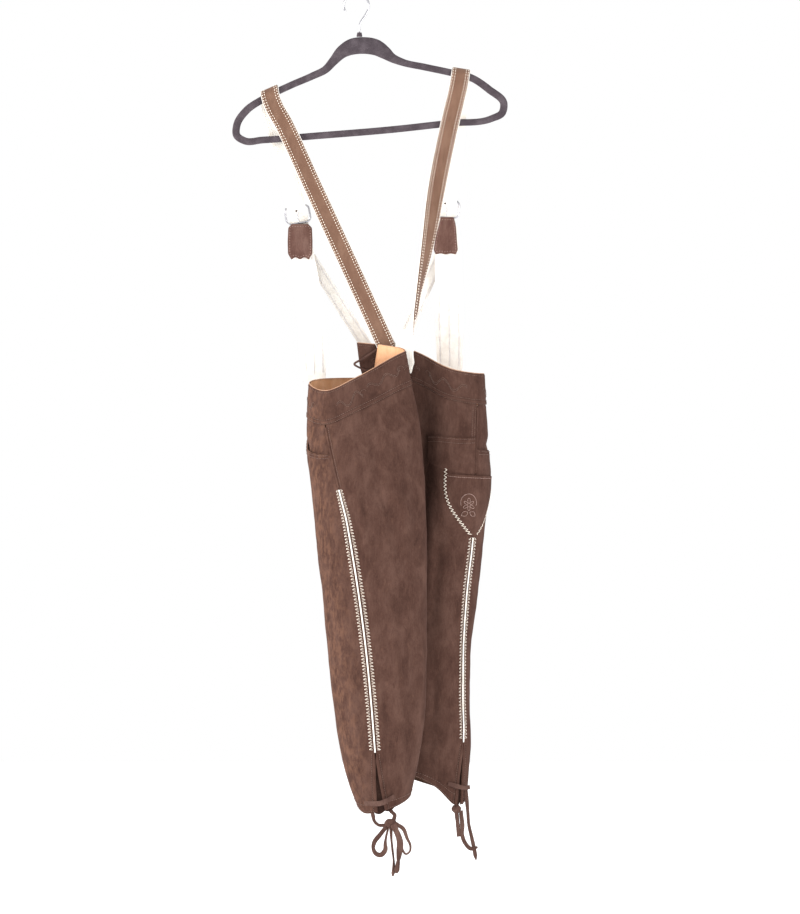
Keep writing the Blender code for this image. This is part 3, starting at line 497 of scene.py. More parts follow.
def join_stitches(*groups):
    return [np.vstack([g[k] for g in groups]) for k in range(3)]


def sew(name, groups, thickness, material, slot="dark_suede"):
    """One piece from groups of stitches."""
    place(grains(name, *join_stitches(*groups), thickness, material), slot=slot)


# ------------------------------------------------------------------ materials
class Nodes:
    """Short hand for wiring one material's nodes."""

    def __init__(self, name):
        self.material = bpy.data.materials.new(name)
        self.material.use_nodes = True
        self.tree = self.material.node_tree
        self.shader = self.tree.nodes["Principled BSDF"]
        self.place = self.tree.nodes.new("ShaderNodeTexCoord").outputs["Object"]

    def new(self, kind, **sockets):
        node = self.tree.nodes.new(kind)
        for name, value in sockets.items():
            self.feed(node.inputs[name.replace("_", " ")], value)
        return node

    def feed(self, socket, value):
        if isinstance(value, bpy.types.NodeSocket):
            self.tree.links.new(value, socket)
        else:
            socket.default_value = value

    def noise(self, scale, detail=4.0, roughness=0.6, stretch=(1, 1, 1), turn=(0, 0, 0),
              distortion=0.0):
        """Noise from 0 to 1 with features of about 1 / scale metres."""
        where = self.new("ShaderNodeMapping", Vector=self.place, Scale=stretch, Rotation=turn)
        return self.new("ShaderNodeTexNoise", Vector=where.outputs["Vector"], Scale=scale,
                        Detail=detail, Roughness=roughness,
                        Distortion=distortion).outputs["Fac"]

    def math(self, operation, first, second=0.5, third=0.5):
        node = self.tree.nodes.new("ShaderNodeMath")
        node.operation = operation
        for socket, value in zip(node.inputs, (first, second, third)):
            self.feed(socket, value)
        return node.outputs[0]

    def spread(self, value, low, high, out_low=0.0, out_high=1.0):
        node = self.tree.nodes.new("ShaderNodeMapRange")
        node.interpolation_type = "SMOOTHSTEP"
        for socket, number in zip(node.inputs, (value, low, high, out_low, out_high)):
            self.feed(socket, number)
        return node.outputs[0]

    def mix(self, share, first, second):
        node = self.tree.nodes.new("ShaderNodeMix")
        node.data_type = "RGBA"
        for name, value in (("Factor_Float", share), ("A_Color", first), ("B_Color", second)):
            socket = next(s for s in node.inputs if s.identifier == name)
            self.feed(socket, (*value, 1.0) if isinstance(value, tuple) and len(value) == 3
                      else value)
        return next(s for s in node.outputs if s.identifier == "Result_Color")

    def over(self, tone, field, low, high, share, shade):
        """Lay a shade over a tone, by a share that grows as the field goes from low to high."""
        return self.mix(self.math("MULTIPLY", self.spread(field, low, high), share), tone, shade)

    def colour(self, value):
        self.feed(self.shader.inputs["Base Color"],
                  (*value, 1.0) if isinstance(value, tuple) and len(value) == 3 else value)

    def set(self, **sockets):
        for name, value in sockets.items():
            self.feed(self.shader.inputs[name.replace("_", " ")], value)

    def bump(self, height, strength, distance, after=None):
        node = self.new("ShaderNodeBump", Height=height, Strength=strength, Distance=distance)
        if after is not None:
            self.feed(node.inputs["Normal"], after)
        return node.outputs["Normal"]

    def finish(self, normal=None):
        if normal is not None:
            self.feed(self.shader.inputs["Normal"], normal)
        return self.material


def suede(name, base, light, dark, warm, mottle=1.0, nap_turn=0.25, painted_light_tone=None):
    """Napped split leather: cloudy mottling, short brushed strokes and a fine fibrous pile.

    The last argument is a paler, warmer tone laid in patches along the left leg's outer side:
    painted light where that side faces the light from the left.
    """
    n = Nodes(name)
    cloud = n.noise(44, 6, 0.66, (1, 1, 0.5), distortion=0.4)
    patch = n.noise(150, 5, 0.7, (1, 1, 0.45))
    stroke = n.noise(330, 3, 0.7, (1.4, 1.4, 0.22), (0, nap_turn, 0))
    pile = n.noise(1400, 2, 0.7)
    fleck = n.noise(560, 4, 0.75, (1, 1, 0.6))
    tone = n.mix(n.spread(cloud, 0.40, 0.70), base, light)
    for field, low, high, share, shade in (
            (cloud, 0.46, 0.26, 0.85, dark), (patch, 0.54, 0.78, 0.55, warm),
            (patch, 0.46, 0.24, 0.55, dark), (stroke, 0.5, 0.75, 0.45, light),
            (stroke, 0.47, 0.25, 0.38, dark), (fleck, 0.52, 0.72, 0.50, light),
            (fleck, 0.46, 0.30, 0.45, dark)):
        tone = n.over(tone, field, low, high, share * mottle, shade)
    tone = n.over(tone, pile, 0.35, 0.65, 0.25, dark)
    # Painted light: a paler, warmer tone laid in patches over the left leg's outer side, where it
    # faces the light from the left.
    if painted_light_tone:
        spot = n.new("ShaderNodeSeparateXYZ", Vector=n.place)
        edge = n.math("MULTIPLY_ADD", n.math("ADD", spot.outputs["Z"], 0.66), 0.105, 0.080)
        reach = n.math("ADD", spot.outputs["X"], edge)
        near = n.math("MULTIPLY", n.spread(reach, 0.055, 0.0), n.spread(patch, 0.42, 0.62))
        tone = n.mix(n.math("MULTIPLY", near, 0.42), tone, painted_light_tone)
    n.colour(tone)
    n.set(Roughness=0.95, Sheen_Weight=0.12, Sheen_Roughness=0.5,
          Sheen_Tint=(*light, 1.0), Specular_IOR_Level=0.12)
    soft = n.bump(n.noise(120, 4, 0.6, (1, 1, 0.5)), 0.35, 0.0012)
    strokes = n.bump(stroke, 0.35, 0.0007, soft)
    return n.finish(n.bump(pile, 0.5, 0.00035, strokes))


def nubuck(name, base, light, dark):
    """Sanded leather: even colour with faint clouding, pores and rubbed streaks."""
    n = Nodes(name)
    cloud = n.noise(60, 4, 0.6, (1, 1, 0.5))
    streak = n.noise(330, 3, 0.65, (1, 1, 0.25))
    pore = n.noise(1700, 2, 0.6)
    tone = n.mix(n.spread(cloud, 0.38, 0.68), base, light)
    tone = n.over(tone, streak, 0.50, 0.25, 0.45, dark)
    tone = n.over(tone, pore, 0.42, 0.28, 0.4, dark)
    n.colour(tone)
    n.set(Roughness=0.82, Sheen_Weight=0.10, Sheen_Roughness=0.5, Specular_IOR_Level=0.2)
    return n.finish(n.bump(pore, 0.35, 0.0003, n.bump(streak, 0.25, 0.0005)))


def pale_leather(name, base, shade, roughness=0.7):
    n = Nodes(name)
    cloud = n.noise(70, 4, 0.6)
    fibre = n.noise(900, 3, 0.7, (1, 1, 0.4))
    tone = n.mix(n.spread(cloud, 0.35, 0.7), base, shade)
    tone = n.over(tone, fibre, 0.45, 0.25, 0.5, shade)
    n.colour(tone)
    n.set(Roughness=roughness, Sheen_Weight=0.08, Sheen_Roughness=0.5, Specular_IOR_Level=0.25)
    return n.finish(n.bump(fibre, 0.4, 0.0003))


def thread(name, base, shade):
    """Plied thread: fine slanting twist and small changes of tone from stitch to stitch."""
    n = Nodes(name)
    twist = n.new("ShaderNodeTexWave", Vector=n.place, Scale=900.0, Distortion=2.5,
                  Detail=2.0, Detail_Scale=1.5).outputs["Fac"]
    change = n.noise(240, 2, 0.5)
    tone = n.mix(n.spread(change, 0.35, 0.7), base, shade)
    tone = n.over(tone, twist, 0.5, 0.1, 0.35, shade)
    n.colour(tone)
    n.set(Roughness=0.55, Sheen_Weight=0.15, Sheen_Roughness=0.4, Specular_IOR_Level=0.35)
    return n.finish(n.bump(twist, 0.3, 0.0002))


def steel(name):
    n = Nodes(name)
    wear = n.noise(220, 4, 0.6)
    brush = n.noise(900, 2, 0.5, (1, 1, 0.15))
    n.colour(n.mix(n.spread(wear, 0.35, 0.75), (0.50, 0.50, 0.53), (0.34, 0.34, 0.37)))
    n.set(Metallic=1.0)
    n.feed(n.shader.inputs["Roughness"], n.spread(wear, 0.3, 0.7, 0.14, 0.27))
    return n.finish(n.bump(brush, 0.08, 0.0001))


def horn(name):
    n = Nodes(name)
    grain = n.noise(150, 5, 0.65, (1, 0.4, 2.2), (0.4, 0.2, 0.5), distortion=1.2)
    tone = n.mix(n.spread(grain, 0.35, 0.68), (0.20, 0.11, 0.06), (0.58, 0.45, 0.31))
    n.colour(tone)
    n.set(Roughness=0.32, Coat_Weight=0.25, Coat_Roughness=0.2)
    return n.finish(n.bump(grain, 0.15, 0.0003))


def flock(name):
    """Short velvet flocking on plastic: near black, with paler specks in the pile as painted
    sheen.
    """
    n = Nodes(name)
    pile = n.noise(1800, 3, 0.7)
    rub = n.noise(55, 4, 0.6)
    tone = n.mix(n.spread(rub, 0.35, 0.75), (0.050, 0.040, 0.047), (0.085, 0.070, 0.080))
    # Painted sheen: paler specks in the pile.
    tone = n.over(tone, pile, 0.5, 0.75, 0.5, (0.17, 0.15, 0.165))
    n.colour(tone)
    n.set(Roughness=1.0, Sheen_Weight=0.30, Sheen_Roughness=0.35,
          Sheen_Tint=(0.75, 0.70, 0.80, 1.0), Specular_IOR_Level=0.05)
    return n.finish(n.bump(pile, 0.6, 0.0004, n.bump(n.noise(300, 3), 0.2, 0.0006)))


# Its last tone is painted light: a paler, warmer tone on the left leg's outer side.
SUEDE_BROWN = suede("dark_suede", (0.062, 0.030, 0.0225), (0.098, 0.052, 0.040),
                    (0.036, 0.0165, 0.0125), (0.122, 0.062, 0.044), painted_light_tone=(0.175, 0.088, 0.056))
SUEDE_FLESH = suede("flesh_side", (0.125, 0.068, 0.046), (0.17, 0.10, 0.07),
                    (0.085, 0.045, 0.030), (0.16, 0.088, 0.058), mottle=0.7)
# Darker suede as painted shade, for the tongues in the knee slits' hollows and for the punched
# holes in the straps.
SUEDE_PAINTED_SHADE = suede("painted_shade_suede", (0.030, 0.0145, 0.011), (0.050, 0.026, 0.020),
                   (0.018, 0.009, 0.007), (0.052, 0.027, 0.020), mottle=0.7)
SUEDE_LINING = suede("tan_lining", (0.72, 0.40, 0.22), (0.84, 0.52, 0.32),
                     (0.60, 0.31, 0.16), (0.80, 0.45, 0.24), mottle=0.6)
SUEDE_EDGE = suede("cut_edge", (0.155, 0.088, 0.063), (0.20, 0.12, 0.09),
                   (0.11, 0.06, 0.042), (0.19, 0.11, 0.075), mottle=0.7)
RIM_EDGE = suede("tan_cut_edge", (0.44, 0.26, 0.17), (0.56, 0.36, 0.25),
                 (0.30, 0.17, 0.11), (0.50, 0.30, 0.20), mottle=0.7)
SUEDE_TAB = suede("tab_suede", (0.100, 0.050, 0.040), (0.150, 0.088, 0.072),
                  (0.062, 0.030, 0.024), (0.150, 0.082, 0.064))
SUEDE_LACE = suede("lace_suede", (0.078, 0.042, 0.034), (0.125, 0.074, 0.060),
                   (0.042, 0.021, 0.017), (0.12, 0.066, 0.05), nap_turn=0.0)
NUBUCK = nubuck("brown_nubuck", (0.140, 0.074, 0.048), (0.176, 0.100, 0.067),
                (0.100, 0.051, 0.032))
CREAM = pale_leather("cream_leather", (0.82, 0.80, 0.76), (0.72, 0.69, 0.64))
PIPING = pale_leather("white_piping", (0.93, 0.90, 0.85), (0.84, 0.79, 0.71), 0.55)
CREAM_THREAD = thread("cream_thread", (0.90, 0.83, 0.74), (0.76, 0.66, 0.56))
BLUE_THREAD = thread("blue_grey_thread", (0.78, 0.76, 0.78), (0.64, 0.62, 0.65))
BROWN_THREAD = thread("brown_thread", (0.17, 0.10, 0.078), (0.11, 0.062, 0.048))
PINK_THREAD = thread("rose_thread", (0.46, 0.32, 0.28), (0.34, 0.22, 0.19))
STEEL = steel("polished_steel")
HORN = horn("horn")
FLOCK = flock("velvet_flock")


# ------------------------------------------------------------------ camera and light
# Everything in this part is in metres.
FLOOR_LEVEL = -1.62      # below the hanging laces
FLOOR_REACH = 16


def aim(obj, target):
    obj.rotation_euler = (Vector(target) - obj.location).to_track_quat("-Z", "Y").to_euler()


def area_light(name, where, target, size, watts, colour=(1, 1, 1)):
    data = bpy.data.lights.new(name, "AREA")
    data.shape = "DISK"
    data.size = size
    data.energy = watts
    data.color = colour
    made = bpy.data.objects.new(name, data)
    bpy.context.scene.collection.objects.link(made)
    made.location = where
    aim(made, target)


def set_camera():
    data = bpy.data.cameras.new("camera")
    data.lens = 492.5
    data.sensor_width = 36.0
    made = bpy.data.objects.new("camera", data)
    bpy.context.scene.collection.objects.link(made)
    made.location = (0.0699, -20.0, -0.740)
    made.rotation_euler = (math.radians(90), 0, 0)
    bpy.context.scene.camera = made


def set_light():
    scene = bpy.context.scene
    scene.view_settings.view_transform = "Standard"
    scene.view_settings.look = "None"
    world = bpy.data.worlds.new("white_studio")
    world.use_nodes = True
    world.node_tree.nodes["Background"].inputs["Color"].default_value = (1.0, 1.0, 1.0, 1.0)
    world.node_tree.nodes["Background"].inputs["Strength"].default_value = 1.0
    scene.world = world
    middle = (0.06, 0, -0.8)
    area_light("key", (-2.8, -1.3, 0.2), middle, 1.3, 82, (1.0, 0.965, 0.92))
    area_light("edge", (-3.0, 0.5, 0.0), middle, 1.0, 40, (1.0, 0.90, 0.80))
    area_light("fill", (2.4, -3.0, -0.6), middle, 1.8, 70, (1.0, 0.97, 0.94))
    corners = np.array([(x * FLOOR_REACH, y * FLOOR_REACH, FLOOR_LEVEL)
                        for x, y in ((-1, -1), (1, -1), (1, 1), (-1, 1))])
    floor = mesh_object("studio_floor", corners / MM, [(0, 1, 2, 3)], floor_material(),
                        smooth_shading=False)


def floor_material():
    n = Nodes("pale_floor")
    speckle = n.noise(6, 3)
    n.colour(n.mix(speckle, (0.93, 0.93, 0.93), (0.96, 0.96, 0.96)))
    n.set(Roughness=0.9, Emission_Color=(1.0, 1.0, 1.0, 1.0), Emission_Strength=0.55)
    return n.finish()


set_camera()
set_light()


# ------------------------------------------------------------------ breeches
def cloth_lift(side, levels, places, points, normals):
    """How far the worn suede stands off the plain form, calm at its seams and in the waistband."""
    half = HALVES[side]
    wide_front = np.interp(-levels, -half.heights, half.front_width)
    wide_back = np.interp(-levels, -half.heights, half.back_width)
    on_back = places > 1
    from_outseam = np.where(on_back, (places - 1) * wide_back, (1 - places) * wide_front)
    from_centre = np.where(on_back, (2 - places) * wide_back, places * wide_front)
    ripple = soft_noise(points, 46) * 1.0 + soft_noise(points, 17, 7.3) * 0.42
    lift = relief(side, points, normals) + ripple
    calm = (0.25 + 0.75 * rise(3, 22, from_outseam)) * rise(1, 16, from_centre)
    calm = calm * (0.3 + 0.7 * rise(WAIST_FOOT[side], WAIST_FOOT[side] - 26, levels))
    pucker = soft_noise(points, 8, 2.1) * 0.35 * (1 - rise(6, 20, from_outseam))
    return lift * calm + pucker * rise(2, 6, from_centre)


def on_cloth(side, levels, places, out=0.0):
    """Points just off the worn surface, and their outward directions."""
    levels, places = np.asarray(levels, float), np.asarray(places, float)
    points, normals = read(HALVES[side], levels, places)
    lift = cloth_lift(side, levels, places, points, normals) + out
    return points + normals * lift[..., None], normals


def cloth_stitches(side, levels, places, out, pitch, share, lift=0.25):
    """Running stitches along a line on the worn surface."""
    return stitch_line(*on_cloth(side, levels, places, out), pitch, share, lift)


def level_rows(top, bottom, rows, columns):
    """Grid of heights, the same all along each row."""
    return np.repeat(np.linspace(top, bottom, rows)[:, None], columns, axis=1)


def edge_distance(points):
    """How far each point of a grid is from the grid's edges: start, end, top, bottom."""
    across = np.linalg.norm(np.diff(points, axis=1), axis=2)
    down = np.linalg.norm(np.diff(points, axis=0), axis=2)
    start = np.concatenate((np.zeros((len(points), 1)), np.cumsum(across, axis=1)), axis=1)
    top = np.concatenate((np.zeros((1, points.shape[1])), np.cumsum(down, axis=0)), axis=0)
    return start, start[:, -1:] - start, top, top[-1:] - top


def cloth_piece(name, side, levels, places, out, thickness, materials, roll=0.9, reach=2.6,
                extra=None, rolled=(True, True, True, True)):
    """Thin closed cloth on the worn surface, its edges turned in a little."""
    points, normals = read(HALVES[side], levels, places)
    lift = cloth_lift(side, levels, places, points, normals) + out
    for far, turns in zip(edge_distance(points), rolled):
        if turns:
            lift = lift - roll * (1 - rise(0, reach, far)) ** 1.5
    if extra is not None:
        lift = lift + extra(levels, places, points)
    outer = points + normals * lift[..., None]
    inner = points + normals * (lift - thickness)[..., None]
    return shell(name, outer, inner, materials)


LEG_MATERIALS = (SUEDE_BROWN, SUEDE_FLESH, SUEDE_EDGE)
BAND_MATERIALS = (SUEDE_BROWN, SUEDE_LINING, SUEDE_EDGE)
# The tongues' outside is the darker suede of painted shade, for the knee slits' hollows.
TONGUE_MATERIALS = (SUEDE_PAINTED_SHADE, SUEDE_FLESH, SUEDE_EDGE)


def back_panel(side):
    half = HALVES[side]
    rows, columns = 200, 84
    levels = level_rows(WAIST_FOOT[side] - 0.1, half.hem, rows, columns)
    places = np.empty_like(levels)
    spread_out = np.linspace(0, 1, columns)
    spread_out = spread_out - 0.02 * np.sin(2 * np.pi * spread_out)
    for r in range(rows):
        height = levels[r, 0]
        start = half.beside_outseam(height, SEAM_GAP / 2 + half.open_slit(height) / 2)
        end = 2 - SEAM_GAP / half.width(height, True)
        places[r] = start + (end - start) * spread_out
    made = cloth_piece("back_leg_" + side, side, levels, places, 0, SUEDE, LEG_MATERIALS)
    place(made, ["leg_back_" + side], "dark_suede")


def mouth_line(side, across):
    """Height of the front panel's top edge: along the waist, then down the pocket's slant."""
    foot = WAIST_FOOT[side] - 0.1
    slant = rise(MOUTH_START, MOUTH_END, across) * 0.35 + 0.65 * np.clip(
        (across - MOUTH_START) / (MOUTH_END - MOUTH_START), 0, 1)
    return foot + (POCKET_MOUTH[side] - foot) * slant


def front_panel(side):
    half = HALVES[side]
    rows, columns = 190, 80
    across = np.linspace(0, 1, columns)
    tops = mouth_line(side, across)
    down = np.linspace(0, 1, rows)[:, None]
    levels = tops + (half.hem - tops) * down
    places = np.empty_like(levels)
    for r in range(rows):
        starts = SEAM_GAP / half.width(levels[r], False)
        open_slit = half.open_slit(levels[r]) / 2
        ends = half.beside_outseam(levels[r], -SEAM_GAP / 2 - open_slit)
        places[r] = starts + (ends - starts) * across
    made = cloth_piece("front_leg_" + side, side, levels, places, 0, SUEDE, LEG_MATERIALS)
    place(made, ["leg_front_" + side], "dark_suede")


def side_pocket(side):
    half = HALVES[side]
    rows, columns = 26, 30
    tuck, set_in = 16.0, SUEDE + 3.2
    levels = level_rows(WAIST_FOOT[side] - 0.2, POCKET_MOUTH[side] - tuck, rows, columns)
    places = np.empty_like(levels)
    for r in range(rows):
        end = half.beside_outseam(levels[r, 0], -2.2)
        places[r] = np.linspace(MOUTH_START - 0.05, end, columns)

    def rest(levels, places, points):
        above = levels - mouth_line(side, places)
        return rise(3, 26, above) * (set_in - 0.3)
    made = cloth_piece("pocket_facing_" + side, side, levels, places, -set_in, SUEDE,
                       LEG_MATERIALS, extra=rest)
    place(made, ["side_pocket_" + side], "dark_suede")


RIDGE_TOP = 6.2          # the raised cord along the waistband's lower edge
SEAM_THREAD = 0.7        # thickness of the brown sewing thread


def waistband(side):
    half = HALVES[side]
    rows, columns = 30, 2 * 86 - 1
    foot = WAIST_FOOT[side]
    depth = np.concatenate((np.linspace(0, 1, rows - 10, endpoint=False) * 0.86,
                            np.linspace(0.86, 1, 10)))
    levels = np.repeat((half.top + (foot - half.top) * depth)[:, None], columns, axis=1)
    places = np.empty_like(levels)
    for r in range(rows):
        height = levels[r, 0]
        front = np.linspace(SEAM_GAP / half.width(height, False), 1, 86)
        back = np.linspace(1, 2 - SEAM_GAP / half.width(height, True), 86)
        places[r] = np.concatenate((front, back[1:]))

    def ridge(levels, places, points):
        above = levels - foot
        return (0.95 * rise(0.2, 1.6, above) * rise(RIDGE_TOP, RIDGE_TOP - 1.4, above)
                + 0.35 * rise(RIDGE_TOP + 2, RIDGE_TOP + 6, above))
    made = cloth_piece("waist_band_" + side, side, levels, places, 0, WAISTBAND, BAND_MATERIALS,
                       roll=0.8, reach=1.6, extra=ridge)
    place(made, ["waistband_" + side], "dark_suede")
    at = np.linspace(0.02, 1.985, 400)
    threads = [cloth_stitches(side, np.full(400, height), at, out, 3.4, 0.7) for height, out in (
        (foot + 0.3, 0.15), (foot + (RIDGE_TOP + 0.4), 0.55), (half.top - 4.0, 0.3))]
    sew("waist_stitches_" + side, threads, 0.65, BROWN_THREAD)
    points, normals = on_cloth(side, np.full(400, half.top), at, -1.0)
    points[:, 2] += 0.2
    across, facing = frames(points, normals)
    made = sweep("waist_rim_edge_" + side, points, across, facing, 1.3, 1.5, RIM_EDGE, sides=8)
    place(made, slot="dark_suede")


def sweep(name, centre, across, facing, width, thick, material, sides=10, square=2.6):
    """Closed strip with a rounded oblong section along a line of frames."""
    u, v = oblong(sides, square)
    width = np.broadcast_to(np.asarray(width, float).reshape(-1, 1), (len(centre), 1))
    thick = np.broadcast_to(np.asarray(thick, float).reshape(-1, 1), (len(centre), 1))
    rings = (centre[:, None] + across[:, None] * (width * u)[..., None] / 2
             + facing[:, None] * (thick * v)[..., None] / 2)
    faces = tube_faces(len(centre), sides)
    last = (len(centre) - 1) * sides
    faces += [tuple(reversed(range(sides))), tuple(last + k for k in range(sides))]
    handed = np.dot(np.cross(across[0], facing[0]), centre[1] - centre[0])
    if handed < 0:
        faces = [tuple(reversed(face)) for face in faces]
    return mesh_object(name, rings.reshape(-1, 3), faces, material, sharp=60)


def frames(points, normals):
    """Directions across and out of a line that lies on a surface or keeps near one facing."""
    along = np.gradient(points, axis=0)
    along /= np.linalg.norm(along, axis=1, keepdims=True)
    across = np.cross(along, normals)
    across /= np.linalg.norm(across, axis=1, keepdims=True)
    return across, np.cross(across, along)


FISHBONE_PITCH = 5.3
FISHBONE = (3.5, 9.2)    # from the outseam to the near and the far end of each stitch


def outseam_trim(side, top, bottom):
    """White piping in the outseam with a band of crossed cream stitches on each side."""
    half = HALVES[side]
    levels = np.linspace(top, bottom, 190)
    points, normals = on_cloth(side, levels, np.ones(190), 0.55)
    across, facing = frames(points, normals)
    made = sweep("white_piping_" + side, points, across, facing, 2.3, 2.2, PIPING, sides=12,
                 square=2.2)
    place(made, ["piping_" + side], "white_piping")
    starts, ends, outs = [], [], []
    count = int(abs(top - bottom) / FISHBONE_PITCH)
    for n in range(count):
        height = top - 1.5 - n * FISHBONE_PITCH
        for way in (-1, 1):
            wobble = 0.35 * noise.noise(Vector((n * 0.7, way * 2.0, top)))
            spread_out = 0.62 + 0.38 * min(1, 4 * n / count) if side == "left" else 0.85
            for lean in (-1, 1):
                inner_level = height + lean * 1.7 + wobble
                outer_level = height - 1.3 + lean * 0.15
                spots = [on_cloth(side, [level], [half.beside_outseam(
                    level, way * reach * spread_out)], 0.3)
                    for level, reach in ((outer_level, FISHBONE[1] + wobble),
                                         (inner_level, FISHBONE[0]))]
                starts.append(spots[0][0][0])
                ends.append(spots[1][0][0])
                outs.append(spots[0][1][0])
    sew("fishbone_stitches_" + side, [(starts, ends, outs)], 0.75, CREAM_THREAD,
        "cream_leather")


def plain_outseam(side, top, bottom):
    """Soft raised ridge of the felled seam above the piping, with two rows of brown stitches on
    the right half and one on the left.
    """
    half = HALVES[side]
    levels = np.linspace(top, bottom, 60)
    points, normals = on_cloth(side, levels, np.ones(60), 0.0)
    across, facing = frames(points, normals)
    share = np.linspace(0, 1, 60)
    ends_in = np.minimum(rise(0, 0.08, share), rise(1, 0.92, share))
    made = sweep("outseam_ridge_" + side, points, across, facing, 3.4, 1.2 + ends_in * 0.9,
                 SUEDE_BROWN, sides=10, square=2.0)
    place(made, slot="dark_suede")
    threads = []
    for reach in ((5.0, 9.5) if side == "right" else (4.6,)):
        places_there = np.array([half.beside_outseam(z, reach) for z in levels])
        threads.append(cloth_stitches(side, levels, places_there, 0.2, 3.4, 0.7))
    sew("outseam_stitches_" + side, threads, SEAM_THREAD, BROWN_THREAD)


KNIFE_COLUMNS = ("height", "back_reach", "front_reach")
KNIFE_ROWS = (
    (-772, 50, 46), (-796, 50, 46), (-819, 43, 40), (-834, 33, 32), (-848, 21, 21), (-866, 4, 4))
KNIFE_TOP, KNIFE_FOOT = KNIFE_ROWS[0][0], KNIFE_ROWS[-1][0]


def knife_reach(heights, column):
    """How far the knife pocket reaches from the outseam, at heights."""
    rows = np.array(KNIFE_ROWS, float)
    return smooth(-rows[:, 0], rows[:, KNIFE_COLUMNS.index(column)], -np.asarray(heights, float))


def knife_pocket():
    rows, columns = 60, 60
    levels = level_rows(KNIFE_TOP, KNIFE_FOOT, rows, columns)
    share = np.linspace(0, 1, columns)
    places = np.empty_like(levels)
    for r in range(rows):
        height = levels[r, 0]
        back, front = (knife_reach([height], key)[0] for key in ("back_reach", "front_reach"))
        places[r] = [RIGHT.beside_outseam(height, -front + (front + back) * part)
                     for part in share]

    def swell(levels, places, points):
        start, end, top, bottom = edge_distance(points)
        body = rise(0, 18, np.minimum(start, end)) * rise(0, 20, bottom)
        return body * 1.0 + 0.4 * (1 - rise(1.5, 3.5, top)) * rise(0, 1.0, top)
    made = cloth_piece("knife_pocket_patch", "right", levels, places, 0.5 + SUEDE, SUEDE,
                       LEG_MATERIALS, roll=1.1, reach=2.0, extra=swell,
                       rolled=(True, True, False, True))
    place(made, ["knife_pocket"], "dark_suede")


def knife_stitches():
    """Cream zigzag round the pocket's edge and stitches in rose thread along its mouth."""
    starts, ends, outs = [], [], []
    for way, key in ((1, "back_reach"), (-1, "front_reach")):
        heights = np.linspace(-764 if way > 0 else -790, -864, 300)
        reaches = knife_reach(np.minimum(heights, KNIFE_TOP), key)
        inside = np.array([RIGHT.beside_outseam(h, way * (r - 2.6))
                           for h, r in zip(heights, reaches)])
        outside = np.array([RIGHT.beside_outseam(h, way * (r + 2.9))
                            for h, r in zip(heights, reaches)])
        inner, inner_out = on_cloth("right", heights, inside, 2.4)
        outer, outer_out = on_cloth("right", heights - 1.2, outside, 0.3)
        pitch = 2.95
        total = line_length(outer)[-1]
        at = np.arange(0, total, pitch)
        outer, outer_out = resample(outer, at, outer_out)
        reach = line_length(inner)
        inner, inner_out = resample(inner, at / total * reach[-1], inner_out)
        corners = np.where((np.arange(len(at)) % 2 == 0)[:, None], outer, inner)
        starts.append(corners[:-1])
        ends.append(corners[1:])
        outs.append((inner_out[:-1] + outer_out[1:]) / 2)
    sew("knife_pocket_zigzag", zip(starts, ends, outs), 1.15, CREAM_THREAD, "cream_leather")
    height = KNIFE_TOP - 3.6
    places_there = np.array([RIGHT.beside_outseam(height, d) for d in np.linspace(-43, 47, 80)])
    mouth = cloth_stitches("right", np.full(80, height), places_there, 2.7, 3.2, 0.7)
    sew("knife_pocket_mouth_stitches", [mouth], SEAM_THREAD, PINK_THREAD)


def petal(angle, near, far, spread):
    """Outline of one leaf-shaped petal from the motif's middle, as (right, up) pairs."""
    t = np.linspace(0, 1, 22)
    reach = near + (far - near) * np.sin(np.pi * t) ** 0.8
    turn = angle + spread * (t - 0.5) * 2
    return np.column_stack((reach * np.cos(turn), reach * np.sin(turn)))


def flower_motif():
    """Plain mountain flower in rose thread: six pointed petals round a ring, under an arch."""
    lines = [petal(math.radians(a), 3.2, 9.2 + 1.1 * (k % 2), 0.42)
             for k, a in enumerate(range(30, 390, 60))]
    t = np.linspace(0, 2 * np.pi, 26)
    lines.append(np.column_stack((2.5 * np.cos(t), 2.5 * np.sin(t))))
    t = np.linspace(math.radians(-20), math.radians(200), 40)
    lines.append(np.column_stack((13.2 * np.cos(t), 3.0 + 13.6 * np.sin(t))))
    for way in (-1, 1):
        t = np.linspace(0, 1, 18)
        lines.append(np.column_stack((way * (1.5 + 10.5 * t - 2.0 * np.sin(np.pi * t)),
                                      -11.5 - 5.5 * t - 3.0 * np.sin(np.pi * t))))
        lines.append(np.column_stack((way * (1.5 + 10.5 * t + 2.0 * np.sin(np.pi * t)),
                                      -11.5 - 5.5 * t + 3.2 * np.sin(np.pi * t))))
    groups = []
    for line in lines:
        heights = -817.0 + line[:, 1]
        places_there = np.array([RIGHT.beside_outseam(h, 12.5 - x)
                                 for h, x in zip(heights, line[:, 0])])
        groups.append(cloth_stitches("right", heights, places_there, 3.35, 1.7, 0.95, 0.0))
    sew("pocket_flower_motif", groups, 0.8, PINK_THREAD)


# Distance behind the outseam, then the heights of the mouth and the bottom there.
BACK_POCKET_ROWS = ((2, -712, -770), (18, -714, -770), (36, -716, -769), (54, -718, -768),
                    (72, -722, -767), (88, -727, -766))


